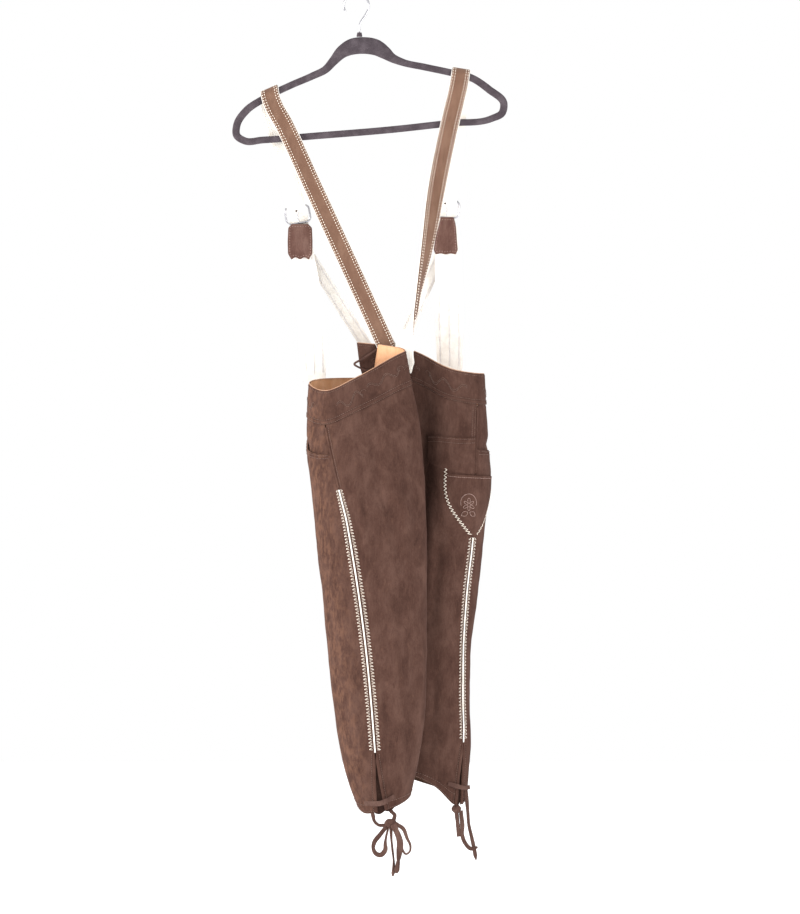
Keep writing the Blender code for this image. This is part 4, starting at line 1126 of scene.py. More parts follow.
def back_pocket():
    rows, columns = 34, 56
    table = np.array(BACK_POCKET_ROWS, float)
    reach = np.linspace(table[0, 0], table[-1, 0], columns)
    mouth = smooth(table[:, 0], table[:, 1], reach)
    bottom = smooth(table[:, 0], table[:, 2], reach)
    down = np.linspace(0, 1, rows)[:, None]
    levels = mouth + (bottom - mouth) * down
    places = np.array([[RIGHT.beside_outseam(z, d) for z, d in zip(line, reach)]
                       for line in levels])

    def gape(levels, places, points):
        start, end, top, bottom = edge_distance(points)
        return (0.9 * (1 - rise(0, 14, top)) * rise(0, 20, np.minimum(start, end))
                - 0.5 * (1 - rise(2, 12, bottom)))
    made = cloth_piece("back_pocket_patch", "right", levels, places, 0.4 + SUEDE, SUEDE,
                       LEG_MATERIALS, roll=0.9, reach=1.6, extra=gape,
                       rolled=(True, True, False, True))
    place(made, ["back_pocket"], "dark_suede")
    groups = []
    for below in (2.4, 8.5):
        places_there = np.array([RIGHT.beside_outseam(m - below, d)
                                 for m, d in zip(mouth, reach)])[2:-2]
        groups.append(cloth_stitches("right", (mouth - below)[2:-2], places_there, 2.75, 3.3,
                                     0.7))
    sew("back_pocket_stitches", groups, SEAM_THREAD, BROWN_THREAD)


def mouth_stitches(side):
    """Two rows along the front panel's slanting pocket mouth."""
    groups = []
    for below in (2.6, 7.5):
        across = np.linspace(MOUTH_START + 0.005, 0.995, 90)
        levels = mouth_line(side, across) - below
        groups.append(cloth_stitches(side, levels, across * 0.985, 0.25, 3.3, 0.7))
    sew("pocket_mouth_stitches_" + side, groups, SEAM_THREAD, BROWN_THREAD)


def hem_stitches(side):
    half = HALVES[side]
    groups = []
    for above in (3.0, 12.5):
        for low, high in ((0.02, 0.955), (1.045, 1.98)):
            at = np.linspace(low, high, 260)
            groups.append(cloth_stitches(side, np.full(260, half.hem + above), at, 0.2, 3.6, 0.7))
    sew("hem_stitches_" + side, groups, SEAM_THREAD, BROWN_THREAD)


def slit_edges(side, top):
    """The knee slit's two folded edges, each with a row of stitches beside it."""
    half = HALVES[side]
    levels = np.linspace(top, half.hem + 0.6, 80)
    threads = []
    for name, way in (("front", -1), ("back", 1)):
        open_slit = half.open_slit(levels) / 2
        places_there = half.beside_outseam(levels, way * (SEAM_GAP / 2 + open_slit + 1.4))
        points, normals = on_cloth(side, levels, places_there, 0.15)
        across, facing = frames(points, normals)
        grow = rise(0, 0.15, np.linspace(0, 1, 80))
        made = sweep("slit_edge_" + name + "_" + side, points, across, facing,
                     2.6 + 3.2 * grow, 1.6 + 1.6 * grow, SUEDE_BROWN, sides=12, square=2.2)
        place(made, slot="dark_suede")
        places_there = half.beside_outseam(levels, way * (SEAM_GAP / 2 + open_slit + 5.2))
        threads.append(cloth_stitches(side, levels, places_there, 0.2, 3.6, 0.7))
    sew("slit_stitches_" + side, threads, SEAM_THREAD, BROWN_THREAD)


def knee_tongue(side, top, bottom, before, behind):
    """Cloth behind the knee slit, from a distance before the outseam to one behind it. Its outside
    is darker suede as painted shade in the slit's hollow.
    """
    half = HALVES[side]
    rows, columns = 50, 34
    across = np.linspace(0, 1, columns)
    feet = bottom - 3.0 * np.abs(np.sin(2 * math.pi * across))
    levels = top + (feet - top) * np.linspace(0, 1, rows)[:, None]
    reach = -before + (before + behind) * across
    places = np.array([[half.beside_outseam(z, d) for z, d in zip(line, reach)]
                       for line in levels])
    made = cloth_piece("tongue_" + side, side, levels, places, -SUEDE - 1.8, BACKING,
                       TONGUE_MATERIALS, roll=0.3)
    place(made, ["knee_tongue_" + side], "dark_suede")


FLAP_REACH = 0.42        # share of each front panel's width that the flap covers
FLAP_TOP, FLAP_BOTTOM = -622.0, -765.0
FLAP_CLEAR = 2.6         # how far its inside stands off the panels


def front_flap():
    """Drop-front flap over both front panels, with a double row of cream stitches round it."""
    rows = 60
    reach = np.linspace(FLAP_REACH, 0.03, 40)
    levels = np.linspace(FLAP_TOP, FLAP_BOTTOM, rows)
    layers = {}
    for out in (FLAP_CLEAR + SUEDE, FLAP_CLEAR):
        sides = []
        for side, places_there in (("left", reach), ("right", reach[::-1])):
            grid_levels = np.repeat(levels[:, None], len(reach), axis=1)
            grid_places = np.repeat(places_there[None], rows, axis=0)
            points, normals = read(HALVES[side], grid_levels, grid_places)
            sides.append(points + normals * out)
        layers[out] = np.concatenate(sides, axis=1)
    outer, inner = layers[FLAP_CLEAR + SUEDE], layers[FLAP_CLEAR]
    wave = (soft_noise(outer, 40, 3.0) * 0.9)[..., None]
    direction = outer - inner
    direction = direction / np.linalg.norm(direction, axis=2, keepdims=True)
    made = shell("drop_front_flap", outer + direction * wave, inner + direction * wave,
                 LEG_MATERIALS)
    place(made, ["front_flap"], "dark_suede")
    groups = []
    face = outer + direction * (wave + 0.35)
    for inset in (3, 6):
        rim = np.vstack((face[inset:-inset, inset], face[-inset - 1, inset:-inset],
                         face[inset:-inset, -inset - 1][::-1]))
        outs = np.vstack((direction[inset:-inset, inset], direction[-inset - 1, inset:-inset],
                          direction[inset:-inset, -inset - 1][::-1]))
        groups.append(stitch_line(rim, outs, 4.0, 0.66))
    sew("flap_stitches", groups, 0.9, CREAM_THREAD, "cream_leather")


SCROLL_COLUMNS = ("half", "start", "end", "waves", "height", "swing")
SCROLLS = (("left", 1.10, 1.30, 1.5, -640, 9), ("left", 1.34, 1.60, 2.0, -634, 6),
           ("left", 1.63, 1.90, 1.5, -638, 8), ("right", 1.10, 1.42, 2.0, -636, 8),
           ("right", 1.50, 1.86, 2.5, -638, 7), ("left", 0.30, 0.55, 2.0, -636, 8),
           ("left", 0.62, 0.90, 2.0, -638, 7), ("right", 0.30, 0.60, 2.5, -636, 8),
           ("right", 0.66, 0.92, 2.0, -638, 7))


def waist_scrolls():
    """Faint tone-on-tone scrolls sewn along the waistband, each with a curled end."""
    groups = []
    for row in SCROLLS:
        scroll = dict(zip(SCROLL_COLUMNS, row))
        t = np.linspace(0, 1, 90)
        for shift in (0.0, 2.6):
            at = scroll["start"] + (scroll["end"] - scroll["start"]) * t
            swing = scroll["swing"] * np.sin(2 * np.pi * scroll["waves"] * t + 0.5)
            levels = scroll["height"] + swing * (0.7 + 0.3 * t) - shift
            groups.append(cloth_stitches(scroll["half"], levels, at, 0.55, 2.4, 0.92))
        turn = np.linspace(0, 1.6 * np.pi, 30)
        reach = 6.5 * (1 - turn / 7)
        wide = HALVES[scroll["half"]].width(scroll["height"], scroll["start"] > 1)
        at = scroll["end"] + reach * np.cos(turn) / wide
        groups.append(cloth_stitches(scroll["half"], scroll["height"] + reach * np.sin(turn), at,
                                     0.55, 2.2, 0.92))
    sew("waist_scrolls", groups, 0.6, BROWN_THREAD)


def make_breeches():
    waist_scrolls()
    for side in ("left", "right"):
        back_panel(side)
        front_panel(side)
        side_pocket(side)
        waistband(side)
        mouth_stitches(side)
        hem_stitches(side)
    outseam_trim("left", -784, KNEE_SLIT_TOP + 2)
    outseam_trim("right", -869, -1196)
    plain_outseam("left", -670, -780)
    plain_outseam("right", -665, -768)
    knife_pocket()
    knife_stitches()
    flower_motif()
    back_pocket()
    knee_tongue("left", KNEE_SLIT_TOP, -1301, 12, 24)
    knee_tongue("right", -1200, -1272, 14, 3)
    slit_edges("left", KNEE_SLIT_TOP)
    slit_edges("right", -1198)
    front_flap()


make_breeches()


# ------------------------------------------------------------------ braces
PLY = 1.1                # half the thickness of a brace: one layer of leather
PLY_GAP = 0.4
FACE_OUT = PLY_GAP + PLY
FACE_INSET = 1.3         # how far the brown layer keeps in from the cream one's edges
# Each row of a strap: x, y, z, how far it is rolled about its own length, and its width. They
# run from the buttoned end at the back, up over the hanger's arm, and down to the buckle.
LEFT_BRACE = (
    (70, -20.5, -610, 0, 26), (58, -21, -584, 0, 30), (47, -22, -560, 0, 30),
    (-10, -20, -436, 0, 30), (-70, -15, -306, 0, 30), (-114, -9.5, -211, 0, 30),
    (-136, -9.5, -168, 0, 30), (-138.5, -7.5, -157.5, -10, 30), (-139, 0, -151, -24, 30),
    (-139.5, 7.5, -157.5, -16, 30), (-138.5, 9.5, -168, -2, 30), (-126, 11, -220, 0, 30),
    (-110, 14, -285, 0, 30), (-97, 15.8, -337, 0, 30), (-95, 16.2, -346, 0, 30),
    (-92.5, 22.5, -358, 0, 30), (-91.5, 25, -367, 0, 30),
    (-88, 28, -390, 0, 28))
RIGHT_BRACE = (
    (84, -29, -607, 172, 9), (80, -29, -592, 170, 27), (77, -29.5, -566, 172, 30),
    (82, -30.5, -545, 130, 30), (91, -30, -524, 92, 30), (99.5, -28, -476, 77, 30),
    (112, -25, -411, 53, 30), (131, -18, -297, 15, 30), (150, -10, -205, 0, 30),
    (165, -8, -139, 0, 30), (167.2, -5.8, -124.5, 6, 30), (168, 0, -119.8, 9, 30),
    (168, 5.8, -124.5, 7, 30), (167.5, 8, -134, 2, 30), (161, 11, -195, 0, 30),
    (154, 14, -262, 0, 30), (145.5, 15.8, -328, 0, 30), (145, 16.2, -337, 0, 30),
    (144, 22.5, -349, 0, 30), (143.5, 25, -358, 0, 30),
    (143, 28.5, -382, 0, 28))
FRONT_BRACES = {
    "left": ((-90, 21.5, -378, 0, 30), (-80, 28, -457, 0, 40), (-69, 38, -560, 0, 40),
             (-67, 44, -618, 0, 36)),
    "right": ((146, 21, -370, 0, 30), (146, 22, -392, 0, 40), (149, 60, -540, 0, 44),
              (150, 82, -606, 0, 40))}
DIAGONALS = {
    "left": ((-74, 34, -420, 0, 19), (-20, 55, -505, 0, 19), (20, 72, -568, 0, 19),
             (42, 82, -604, 0, 19)),
    "right": ((134, 40, -417, 0, 19), (105, 58, -482, 0, 19), (74, 76, -556, 0, 19),
              (55, 86.5, -606, 0, 19))}
TABS = {
    "left": ((-90, 15, -367, 0, 26), (-90, 15.5, -373, 0, 38), (-90, 16, -395, 0, 40),
             (-90, 16.5, -414, 0, 39), (-90, 16.5, -422, 0, 28)),
    "right": ((145, 15, -356, 0, 20), (145.5, 15.5, -365, 0, 26), (144, 16, -385, 0, 33),
              (143, 16.5, -408, 0, 39), (143, 16.5, -415, 0, 32))}


def ribbon_frames(rows, steps):
    """Centre, width direction, face direction and width along a strap."""
    table = np.array(rows, float)
    knots = line_length(table[:, :3])
    at = np.concatenate([np.linspace(a, b, steps, endpoint=False)
                         for a, b in zip(knots, knots[1:])] + [knots[-1:]])
    centre = np.column_stack([smooth(knots, table[:, c], at) for c in range(3)])
    turn = np.radians(smooth(knots, table[:, 3], at))[:, None]
    width = np.interp(at, knots, table[:, 4])[:, None]
    along = np.gradient(centre, at, axis=0)
    along /= np.linalg.norm(along, axis=1, keepdims=True)
    level = np.array((1.0, 0, 0)) - along[:, :1] * along
    level /= np.linalg.norm(level, axis=1, keepdims=True)
    across = level * np.cos(turn) + np.cross(along, level) * np.sin(turn)
    return centre, across, np.cross(across, along), width


HOLES = {"left": (-96, -346), "right": (142, -334)}        # x and z
# x, y, z and the lean in degrees
BUCKLE_CENTRES = {"left": (-94, 20, -352, -10), "right": (145, 20, -343, 4)}
BUCKLE_WIDTH, BUCKLE_HEIGHT, BUCKLE_WIRE, BUCKLE_CORNER = 39.0, 27.0, 3.0, 7.0
LACES = {
    "knee_lace_left_bridge": ((13, -106, -1291), (38, -111.5, -1291), (62, -106.5, -1280)),
    "knee_lace_left_strand_a": ((27, -100, -1311), (29, -103, -1319), (36, -106, -1325.5),
                                (44, -108, -1326)),
    "knee_lace_left_strand_b": ((57, -100, -1305), (61.5, -104, -1310), (60.5, -107.5, -1315)),
    "knee_lace_left_loop_a": (
        (47, -109, -1329.5), (38, -111, -1341), (29, -112, -1353), (27.5, -113, -1363),
        (32, -113, -1371), (39, -112, -1373), (46, -111, -1366), (46.5, -110, -1353),
        (48.5, -109, -1341), (51, -109, -1331.5)),
    "knee_lace_left_loop_b": (
        (65, -109, -1324.5), (74.7, -110, -1331), (81, -111, -1346), (86.5, -112, -1359),
        (85, -112, -1368), (79.4, -112, -1371.5), (74.5, -111, -1366), (73, -111, -1352),
        (69, -110, -1341), (63.5, -109, -1331)),
    "knee_lace_left_tail_a": ((55.5, -112.5, -1330.5), (56, -113, -1345), (58, -113, -1365),
                              (60, -112.5, -1385), (58.5, -112, -1407)),
    "knee_lace_left_tail_b": ((60.5, -115.5, -1327.5), (66, -115, -1340), (69.5, -115, -1352),
                              (68.5, -114.5, -1372), (66, -114, -1390), (64, -113, -1402)),
    "knee_lace_right_bridge": ((147, -13, -1262), (160, -11, -1266), (172, -5.5, -1269),
                               (181.5, 6, -1268)),
    "knee_lace_right_tail_a": ((160.5, -8, -1310), (162, -8, -1325), (164, -8, -1347)),
    "knee_lace_right_tail_b": ((177, 2, -1292), (178.5, -1, -1310), (180, -3, -1328),
                               (184, -4, -1346), (188, -5, -1364), (191.5, -6, -1384)),
    "knee_lace_right_tail_c": ((167.5, -9.5, -1309), (169.5, -10, -1330), (169.5, -10.5, -1345),
                               (174, -11, -1357), (183, -11, -1366), (194, -10, -1363.5)),
    "back_lace": ((38, -26.5, -565), (24, -25.5, -574), (9, -24, -584), (-3, -22, -591.5),
                  (9, -24, -599), (24, -25.5, -606), (38, -26.5, -613)),
}
# Centre, and half the size each way.
KNOTS = {"knee_knot_left": ((54.9, -108, -1322.7), (9.0, 6.5, 6.3)),
         "knee_knot_right": ((160, -8, -1302.5), (7.0, 4.5, 5.8))}

# x, z and the width of the arm there, once round the hanger.
HANGER_ROWS = (
    (10.7, -81.8, 27), (31.5, -85, 26), (46, -93.5, 21), (57, -101.5, 15), (72, -108, 12),
    (110, -116.5, 11), (150, -125, 11), (185, -134, 11.5), (212, -152, 12), (236, -175, 12),
    (233, -190, 12), (217, -198.5, 11), (150, -206, 11), (60, -216, 11), (-60, -226, 11),
    (-150, -233, 11), (-178, -234.5, 11.5), (-191, -226, 12), (-191, -209, 12),
    (-176, -186, 12), (-150, -168, 11.5), (-106, -146, 11), (-70, -130.5, 11.5),
    (-49, -120, 12.5), (-36, -106, 15), (-22, -91.5, 21), (-7.4, -84, 26))
HANGER_DEPTH = 6.0
HOOK_WIRE = 3.5
HOOK_REACH = 20.0        # from the hook's centre to the middle of its wire
COLLAR_TOP = -61.0


def strap_grid(rows, out, columns, steps, inset=0.0, edge_drop=0.0):
    """Points over one side of a strap, at a height off its middle."""
    centre, across, facing, width = ribbon_frames(rows, steps)
    t = np.linspace(-1, 1, columns)
    half_width = width / 2 - inset
    away = out - np.sign(out) * (edge_drop * np.abs(t) ** 7)
    return (centre[:, None] + across[:, None] * (half_width * t)[..., None]
            + facing[:, None] * away[None, :, None])


STRAP_STEPS, STRAP_COLUMNS = 12, 11


def strap_layer(name, rows, low, high, material, nodes, slot, inset=0.0):
    """One leather layer of a strap between two heights off the strap's middle."""
    outer = strap_grid(rows, high, STRAP_COLUMNS, STRAP_STEPS, inset, 0.35)
    inner = strap_grid(rows, low, STRAP_COLUMNS, STRAP_STEPS, inset)
    made = shell(name, outer, inner, material, sharp=45)
    place(made, nodes, slot)


def strap_stitches(rows, out, insets, pitch, start=0.02, end=0.98, share=0.62):
    """Running stitches along a strap, at distances in from its two edges."""
    centre, across, facing, width = ribbon_frames(rows, STRAP_STEPS)
    keep = slice(int(len(centre) * start), int(len(centre) * end))
    way = math.copysign(1, out)
    groups = []
    for inset in insets:
        for side in (-1, 1):
            line = centre + across * side * (width / 2 - inset) + facing * out
            groups.append(stitch_line(line[keep], (facing * way)[keep], pitch, share, 0.12, 0.25))
    return join_stitches(*groups)


def chain_stitches(rows, out, offsets, pitch, start=0.03, end=0.97):
    """Rows of chain stitch along a strap, each link two grains that meet at a point."""
    centre, across, facing, width = ribbon_frames(rows, STRAP_STEPS)
    keep = slice(int(len(centre) * start), int(len(centre) * end))
    way = math.copysign(1, out)
    starts, ends, outs = [], [], []
    for offset in offsets:
        line = (centre + across * (width / 2 * offset) + facing * out)[keep]
        total = line_length(line)[-1]
        at = np.arange(0, total - pitch * 1.3, pitch)
        first, side, up = resample(line, at, across[keep], (facing * way)[keep])
        last = resample(line, at + pitch * 1.15)[0]
        middle = (first + last) / 2
        for lean in (-1, 1):
            starts += [first, middle + side * lean * 0.95]
            ends += [middle + side * lean * 0.95, last]
            outs += [up, up]
    return [np.vstack(starts), np.vstack(ends), np.vstack(outs)]


def strap(name, nodes, side, rows):
    """A strap's two layers: cream leather under, brown nubuck on top and a little narrower."""
    strap_layer(name + "_cream_" + side, rows, -0.02, -FACE_OUT, CREAM, [nodes + "_backing"],
                "cream_leather")
    strap_layer(name + "_brown_" + side, rows, 0.04, FACE_OUT, NUBUCK, [nodes + "_face"],
                "brown_nubuck", inset=FACE_INSET)


def make_straps():
    for side, rows in (("left", LEFT_BRACE), ("right", RIGHT_BRACE)):
        strap("brace", "brace_" + side, side, rows)
        sew("brace_stitches_" + side,
            [strap_stitches(rows, FACE_OUT + 0.1, (2.9, 6.4), 4.6, 0.01, 0.995, 0.5)],
            1.3, CREAM_THREAD, "cream_leather")
        sew("brace_under_stitches_" + side,
            [strap_stitches(rows, -FACE_OUT, (2.7, 6.1), 3.6, 0.01, 0.995)],
            0.85, CREAM_THREAD, "cream_leather")
        for part, tables, held, offsets in (
                ("front_brace", FRONT_BRACES, "brace_cream_", (-0.72, 0.0, 0.72)),
                ("diagonal", DIAGONALS, "front_brace_cream_", (-0.62, 0.62))):
            strap(part, part + "_" + side, side, tables[side])
            sew(part + "_chain_stitches_" + side,
                [chain_stitches(tables[side], FACE_OUT + 0.15, offsets, 3.8)],
                0.75, CREAM_THREAD, "cream_leather")
            sew(part + "_under_stitches_" + side,
                [chain_stitches(tables[side], -FACE_OUT - 0.15, offsets, 6.2)],
                0.5, BLUE_THREAD, "cream_leather")


def tab(side):
    """Dark suede tab that hangs from the buckle, its corners rounded and its foot in two lobes."""
    rows, columns = 60, 40
    table = np.array(TABS[side], float)
    knots = line_length(table[:, :3])
    at = np.linspace(0, knots[-1], rows)
    centre = np.column_stack([smooth(knots, table[:, c], at) for c in range(3)])
    width = np.interp(at, knots, table[:, 4])
    kernel = np.array((1, 2, 3, 2, 1)) / 9
    width = np.convolve(np.pad(width, 2, mode="edge"), kernel, mode="valid")
    share = np.linspace(0, 1, rows)
    t = np.linspace(-1, 1, columns)
    depth = 1.6 if side == "left" else 0.7
    lobes = depth * np.cos(2 * np.pi * t) * rise(0.75, 1.0, share)[:, None]
    outer = np.empty((rows, columns, 3))
    outer[..., 0] = centre[:, :1] + t * width[:, None] / 2
    outer[..., 2] = centre[:, 2:] - lobes
    wave = np.sin(2.2 * t + 0.6) * 0.5 + 0.5 * np.cos(5 * share)[:, None] * t
    rolled = 0.5 * (np.abs(t) ** 8)[None] + 0.5 * (np.abs(2 * share - 1) ** 14)[:, None]
    outer[..., 1] = centre[:, 1:2] - SUEDE / 2 + wave * 0.6 + rolled
    inner = outer + np.array((0, SUEDE, 0)) - np.array((0, 1, 0)) * (2 * rolled)[..., None] * 0.5
    made = shell("brace_tab_suede_" + side, outer, inner, (SUEDE_TAB, SUEDE_TAB, SUEDE_EDGE))
    place(made, ["brace_tab_" + side], "dark_suede")
    face = outer + np.array((0, -0.25, 0))
    inset_rows, inset_columns = 4, 3
    rim = np.vstack((face[inset_rows:-inset_rows, inset_columns],
                     face[-inset_rows - 1, inset_columns:-inset_columns],
                     face[inset_rows:-inset_rows, -inset_columns - 1][::-1],
                     face[inset_rows, inset_columns:-inset_columns][::-1]))
    outs = np.broadcast_to(np.array((0.0, -1.0, 0.0)), rim.shape)
    sew("tab_stitches_" + side, [stitch_line(rim, outs, 4.2, 0.45, 0.1)], 0.75, PINK_THREAD,
        "cream_leather")


def rounded_frame(side):
    """Line of a buckle's wire, round its rounded corners."""
    x, y, z, lean = BUCKLE_CENTRES[side]
    lean = math.radians(lean)
    route = []
    for quadrant, (sx, sz) in enumerate(((1, 1), (-1, 1), (-1, -1), (1, -1))):
        cx = sx * (BUCKLE_WIDTH / 2 - BUCKLE_CORNER)
        cz = sz * (BUCKLE_HEIGHT / 2 - BUCKLE_CORNER)
        for step in range(11):
            angle = math.pi / 2 * (quadrant + step / 10)
            route.append((cx + BUCKLE_CORNER * math.cos(angle),
                          cz + BUCKLE_CORNER * math.sin(angle)))
    return np.array([(x + u * math.cos(lean) + v * math.sin(lean), y,
                      z - u * math.sin(lean) + v * math.cos(lean)) for u, v in route])


def closed_wire(name, route, diameter, material, sides=14):
    """Round wire whose end joins its start, along a route square to Y."""
    along = np.roll(route, -1, axis=0) - np.roll(route, 1, axis=0)
    along /= np.linalg.norm(along, axis=1, keepdims=True)
    out = np.broadcast_to(np.array((0.0, 1.0, 0.0)), along.shape)
    side = np.cross(along, out)
    angles = 2 * np.pi * np.arange(sides) / sides
    rings = route[:, None] + (side[:, None] * np.cos(angles)[None, :, None]
                              + out[:, None] * np.sin(angles)[None, :, None]) * diameter / 2
    count = len(route)
    faces = [(r * sides + k, r * sides + (k + 1) % sides,
              (r + 1) % count * sides + (k + 1) % sides, (r + 1) % count * sides + k)
             for r in range(count) for k in range(sides)]
    made = mesh_object(name, rings.reshape(-1, 3), faces, material)
    face_outward(made)
    return made


def smooth_line(points, spacing):
    """Smooth curve through a route's points, read evenly."""
    route = np.array(points, float)
    knots = line_length(route)
    at = np.linspace(0, knots[-1], max(int(knots[-1] / spacing), 6))
    return np.column_stack([smooth(knots, route[:, c], at) for c in range(route.shape[1])])


def wire(name, points, diameter, material, facing=(0, 1, 0), sides=14):
    """Round wire through points, a little thinner at its two ends."""
    line = smooth_line(points, 1.2)
    across, out = frames(line, facing)
    size = np.full(len(line), float(diameter))
    size[0], size[-1] = diameter * 0.6, diameter * 0.6
    return sweep(name, line, across, out, size, size, material, sides=sides, square=2.0)


def strap_hole(side):
    """Dark ring of painted shade in a punched hole, on the strap's cream side."""
    rows = LEFT_BRACE if side == "left" else RIGHT_BRACE
    centre, _, facing, _ = ribbon_frames(rows, STRAP_STEPS)
    x, z = HOLES[side]
    near = int(np.argmin(np.hypot(centre[:, 0] - x, centre[:, 2] - z)
                         + 100 * (facing[:, 1] < 0)))
    spot = centre[near] - facing[near] * (FACE_OUT + 0.1)
    spot[0] = x
    made = turned("punched_hole_shade_" + side, spot, -facing[near], BUTTON_PROFILE, 1.7, 0.5,
                  SUEDE_PAINTED_SHADE, sides=20)
    place(made, slot="dark_suede")


def make_buckles():
    for side in ("left", "right"):
        made = closed_wire("buckle_frame_" + side, rounded_frame(side), BUCKLE_WIRE, STEEL)
        place(made, ["buckle_" + side], "polished_steel")
        x, _, z, lean = BUCKLE_CENTRES[side]
        foot = BUCKLE_HEIGHT / 2 - 2.0
        prong = ((x - foot * math.sin(math.radians(lean)), 15.9, z - foot), (x, 14.5, z - 3),
                 (x + 1, 12.6, z + 6))
        made = wire("buckle_tongue_" + side, prong, 2.2, STEEL, facing=(1, 0, 0))
        place(made, ["buckle_prong_" + side], "polished_steel")
        strap_hole(side)
        tab(side)


# ------------------------------------------------------------------ buttons
BUTTON_PROFILE = ((0, 0.0), (0.86, 0.0), (0.97, 0.12), (1.0, 0.42), (0.97, 0.78), (0.88, 0.97),
                  (0.80, 1.0), (0.68, 0.90), (0.58, 0.74), (0.30, 0.70), (0, 0.69))


def round_axis(axis):
    """An axis's direction and two more, square to it and to each other."""
    out = Vector(axis).normalized()
    first = np.array(out.orthogonal().normalized())
    return np.array(out), first, np.cross(np.array(out), first)


def turned(name, centre, axis, profile, radius, height, material, sides=40):
    """Surface of revolution: profile gives (share of the radius, share of the height)."""
    out, first, second = round_axis(axis)
    points, rings = [np.array(centre, float) + out * profile[0][1] * height], []
    for reach, level in profile[1:-1]:
        rings.append(len(points))
        for k in range(sides):
            angle = 2 * math.pi * k / sides
            points.append(np.array(centre) + out * level * height
                          + (first * math.cos(angle) + second * math.sin(angle)) * reach * radius)
    points.append(np.array(centre) + out * profile[-1][1] * height)
    faces = [(0, rings[0] + (k + 1) % sides, rings[0] + k) for k in range(sides)]
    for low, high in zip(rings, rings[1:]):
        for k in range(sides):
            beside = (k + 1) % sides
            faces.append((low + k, low + beside, high + beside, high + k))
    last = len(points) - 1
    faces += [(last, rings[-1] + k, rings[-1] + (k + 1) % sides) for k in range(sides)]
    return mesh_object(name, points, faces, material, sharp=50)


def button(name, node, centre, facing, radius=8.0, thickness=2.6):
    """Horn button with two crossed threads."""
    made = turned(name, centre, facing, BUTTON_PROFILE, radius, thickness, HORN)
    place(made, [node], "horn")
    out, first, second = round_axis(facing)
    base = np.array(centre) + out * thickness * 0.72
    starts = [base + (first * a + second * b) * radius * 0.24 for a, b in ((1, 1), (1, -1))]
    ends = [base - (first * a + second * b) * radius * 0.24 for a, b in ((1, 1), (1, -1))]
    sew(name + "_thread", [(starts, ends, [out, out])], 0.9, BROWN_THREAD)


def make_buttons():
    button("back_button_left", "brace_button_back_left", (61, -22.6, -599), (0, -1, 0), 6.5, 2.2)
    button("back_button_right", "brace_button_back_right", (84, -26.5, -592), (0, 1, 0), 6.5, 2.2)
    button("front_button_left", "brace_button_front_left", (-66, 46.5, -606), (0, 1, 0))
    button("front_button_right", "brace_button_front_right", (150, 84.5, -594), (0, 1, 0.2))
    button("front_button_centre", "brace_button_centre", (50, 89.5, -598), (0, 1, 0))
    for side, half in HALVES.items():
        corner = (FLAP_TOP - 14, FLAP_REACH - 0.06)
        base, spot = half.at(*corner), half.at(*corner, FLAP_CLEAR + SUEDE + 0.5)
        button("flap_corner_button_" + side, "flap_button_" + side, spot, spot - base)


# ------------------------------------------------------------------ laces
LACE_WIDTH, LACE_THICK = 8.0, 1.3
LACE_STEP = 1.1          # between the sections of a lace
# far end, turns in degrees along the strip, share of the full width, how far each end runs on
LACE_LOOKS = {
    "knee_lace_left_bridge": ("object", (0, 6, 0), 1.0, 0, 0),
    "knee_lace_left_strand_a": (None, (0, 45, 30), 0.8, 5, 5),
    "knee_lace_left_strand_b": (None, (0, 0, 0), 0.8, 4, 4),
    "knee_lace_left_loop_a": ("object", (0, 0, 50, 10, 62, 70), 1.0, 5, 5),
    "knee_lace_left_loop_b": ("object", (0, 40, 65, 55, 20), 0.85, 6, 5),
    "knee_lace_left_tail_a": ("bare", (30, 55, 60, 15), 0.75, 4, 0),
    "knee_lace_left_tail_b": ("bare", (0, -10, 5, 60, 10), 1.25, 4, 0),
    "knee_lace_right_bridge": ("object", (0, -8, 0), 0.9, 0, 0),
    "knee_lace_right_tail_a": (None, (0, 20, 5), 0.85, 4, 0),
    "knee_lace_right_tail_b": ("bare", (0, 40, -20), 0.8, 20, 0),
    "knee_lace_right_tail_c": ("bare", (10, -30, 30), 0.9, 4, 0),
    "back_lace": (None, (0, 0, 0), 0.42, 0, 0),
}


def lace(name, route):
    """Flat suede strip along a route, turning a little about its own length."""
    far_end, turns, narrow, before, after = LACE_LOOKS[name]
    line = smooth_line(route, LACE_STEP)
    lead = (line[0] - line[2]) / np.linalg.norm(line[0] - line[2])
    trail = (line[-1] - line[-3]) / np.linalg.norm(line[-1] - line[-3])
    line = np.vstack([line[0] + lead * d for d in np.arange(before, 0, -LACE_STEP)] + [line]
                     + [line[-1] + trail * d for d in np.arange(LACE_STEP, after, LACE_STEP)])
    share = np.linspace(0, 1, len(line))
    across, out = frames(line, (0, -1, 0))
    turn = np.radians(np.interp(share, np.linspace(0, 1, len(turns)), turns))[:, None]
    across, out = (across * np.cos(turn) + out * np.sin(turn),
                   out * np.cos(turn) - across * np.sin(turn))
    wobble = np.array([noise.noise(Vector((s * 5.0, narrow * 9, 1.7))) for s in share])
    width = LACE_WIDTH * narrow * (1 + 0.16 * wobble)
    if far_end == "bare":
        width = width * (1 - 0.55 * rise(0.93, 1.0, share))
    made = sweep(name + "_strip", line, across, out, width, LACE_THICK, SUEDE_LACE, sides=12,
                 square=3.0)
    place(made, [name], "dark_suede")
    return made, line, float(np.median(width))


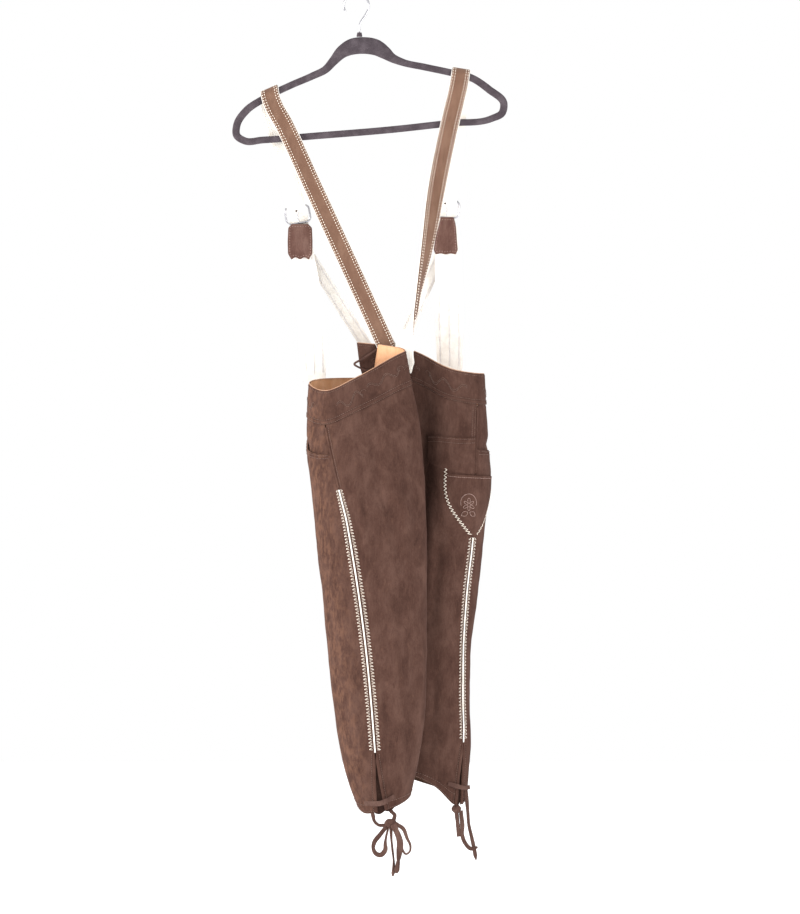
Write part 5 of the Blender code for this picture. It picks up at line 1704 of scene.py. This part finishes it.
def knot(name, node, centre, reach):
    """Overhand knot: bands of the strip wound round one another."""
    bands = []
    angles = np.linspace(0, 2 * np.pi, 40, endpoint=False)
    band = np.column_stack((np.cos(angles), np.sin(angles) * 0.5, np.sin(angles) * 0.9))
    for tilt, roll, size in ((0.2, 0.0, 1.0), (1.1, 0.5, 0.92), (-0.8, -0.4, 0.86),
                             (0.5, 1.3, 0.8)):
        turn = np.array(((math.cos(tilt), 0, math.sin(tilt)), (0, 1, 0),
                         (-math.sin(tilt), 0, math.cos(tilt))))
        spin = np.array(((math.cos(roll), -math.sin(roll), 0),
                         (math.sin(roll), math.cos(roll), 0), (0, 0, 1)))
        bands.append(band @ turn @ spin * size)
    shape = bmesh.new()
    bmesh.ops.create_icosphere(shape, subdivisions=4, radius=1)
    points = []
    for vertex in shape.verts:
        spot = np.array(vertex.co)
        swell = 0.80
        for k, band in enumerate(bands):
            near = np.min(np.linalg.norm(band / np.linalg.norm(band, axis=1, keepdims=True)
                                         - spot, axis=1))
            swell = max(swell, 0.80 + (0.20 + 0.03 * k) * math.exp(-(near / 0.30) ** 4))
        points.append(np.array(centre) + spot * swell * np.array(reach))
    faces = [[v.index for v in face.verts] for face in shape.faces]
    shape.free()
    made = mesh_object(name, points, faces, SUEDE_LACE)
    place(made, [node], "dark_suede")
    return made


KNOT_GROWTH = 1.12       # the wound bands stand a little proud of the plain knot


def make_laces():
    made = {name: lace(name, route) for name, route in LACES.items()}
    knots = {name: knot(name.replace("knee_knot", "lace_knot"), name, shape[0],
                        tuple(KNOT_GROWTH * reach for reach in shape[1]))
             for name, shape in KNOTS.items()}
    for name, (strip, line, width) in made.items():
        far_end = LACE_LOOKS[name][0]
        if far_end is None:
            continue


# ------------------------------------------------------------------ hanger
COLLAR_FOOT = -67.9


def make_hanger():
    table = np.array(HANGER_ROWS, float)
    closed = np.vstack((table[-3:], table, table[:3]))
    knots = line_length(closed[:, :2])
    at = np.concatenate([np.linspace(a, b, 14, endpoint=False)
                         for a, b in zip(knots[3:-3], knots[4:-2])])
    x, z, width = (smooth(knots, closed[:, c], at) for c in range(3))
    route = np.column_stack((x, np.zeros_like(x), z))
    along = np.roll(route, -1, axis=0) - np.roll(route, 1, axis=0)
    along /= np.linalg.norm(along, axis=1, keepdims=True)
    side = np.column_stack((-along[:, 2], np.zeros_like(x), along[:, 0]))
    count, sides = len(route), 20
    u, v = oblong(sides, 3.2)
    depth = HANGER_DEPTH + 0.1 * soft_noise(route, 9)
    rings = (route[:, None] + side[:, None] * (width[:, None] * u / 2)[..., None]
             + np.array((0, 1, 0)) * (depth[:, None] * v / 2)[..., None])
    faces = [(r * sides + k, ((r + 1) % count) * sides + k,
              ((r + 1) % count) * sides + (k + 1) % sides, r * sides + (k + 1) % sides)
             for r in range(count) for k in range(sides)]
    made = mesh_object("hanger_arms", rings.reshape(-1, 3), faces, FLOCK)
    face_outward(made)
    place(made, ["hanger_body"], "velvet_flock")
    collar = ((0, 0.0), (0.98, 0.0), (1.0, 0.06), (0.96, 0.45), (0.86, 0.52), (0.84, 0.86),
              (0.70, 1.0), (0, 1.0))
    made = turned("hook_collar", (5, 0, COLLAR_FOOT), (0, 0, 1), collar, 4.6,
                  COLLAR_TOP - COLLAR_FOOT, FLOCK)
    place(made, ["hanger_collar"], "velvet_flock")
    centre = HOOK_WIRE / 2 - HOOK_REACH
    bend = [(5, 0, COLLAR_TOP + 0.3), (5, 0, -53), (7, 0, -45), (12, 0, -37), (16.5, 0, -30)]
    turns = [(HOOK_REACH * math.cos(math.radians(a)), 0,
              centre + HOOK_REACH * math.sin(math.radians(a))) for a in range(-10, 211, 20)]
    made = wire("hook_wire", bend + turns, HOOK_WIRE, STEEL, sides=18)
    place(made, ["hanger_hook"], "polished_steel")


make_hanger()
make_straps()
make_buckles()
make_buttons()
make_laces()
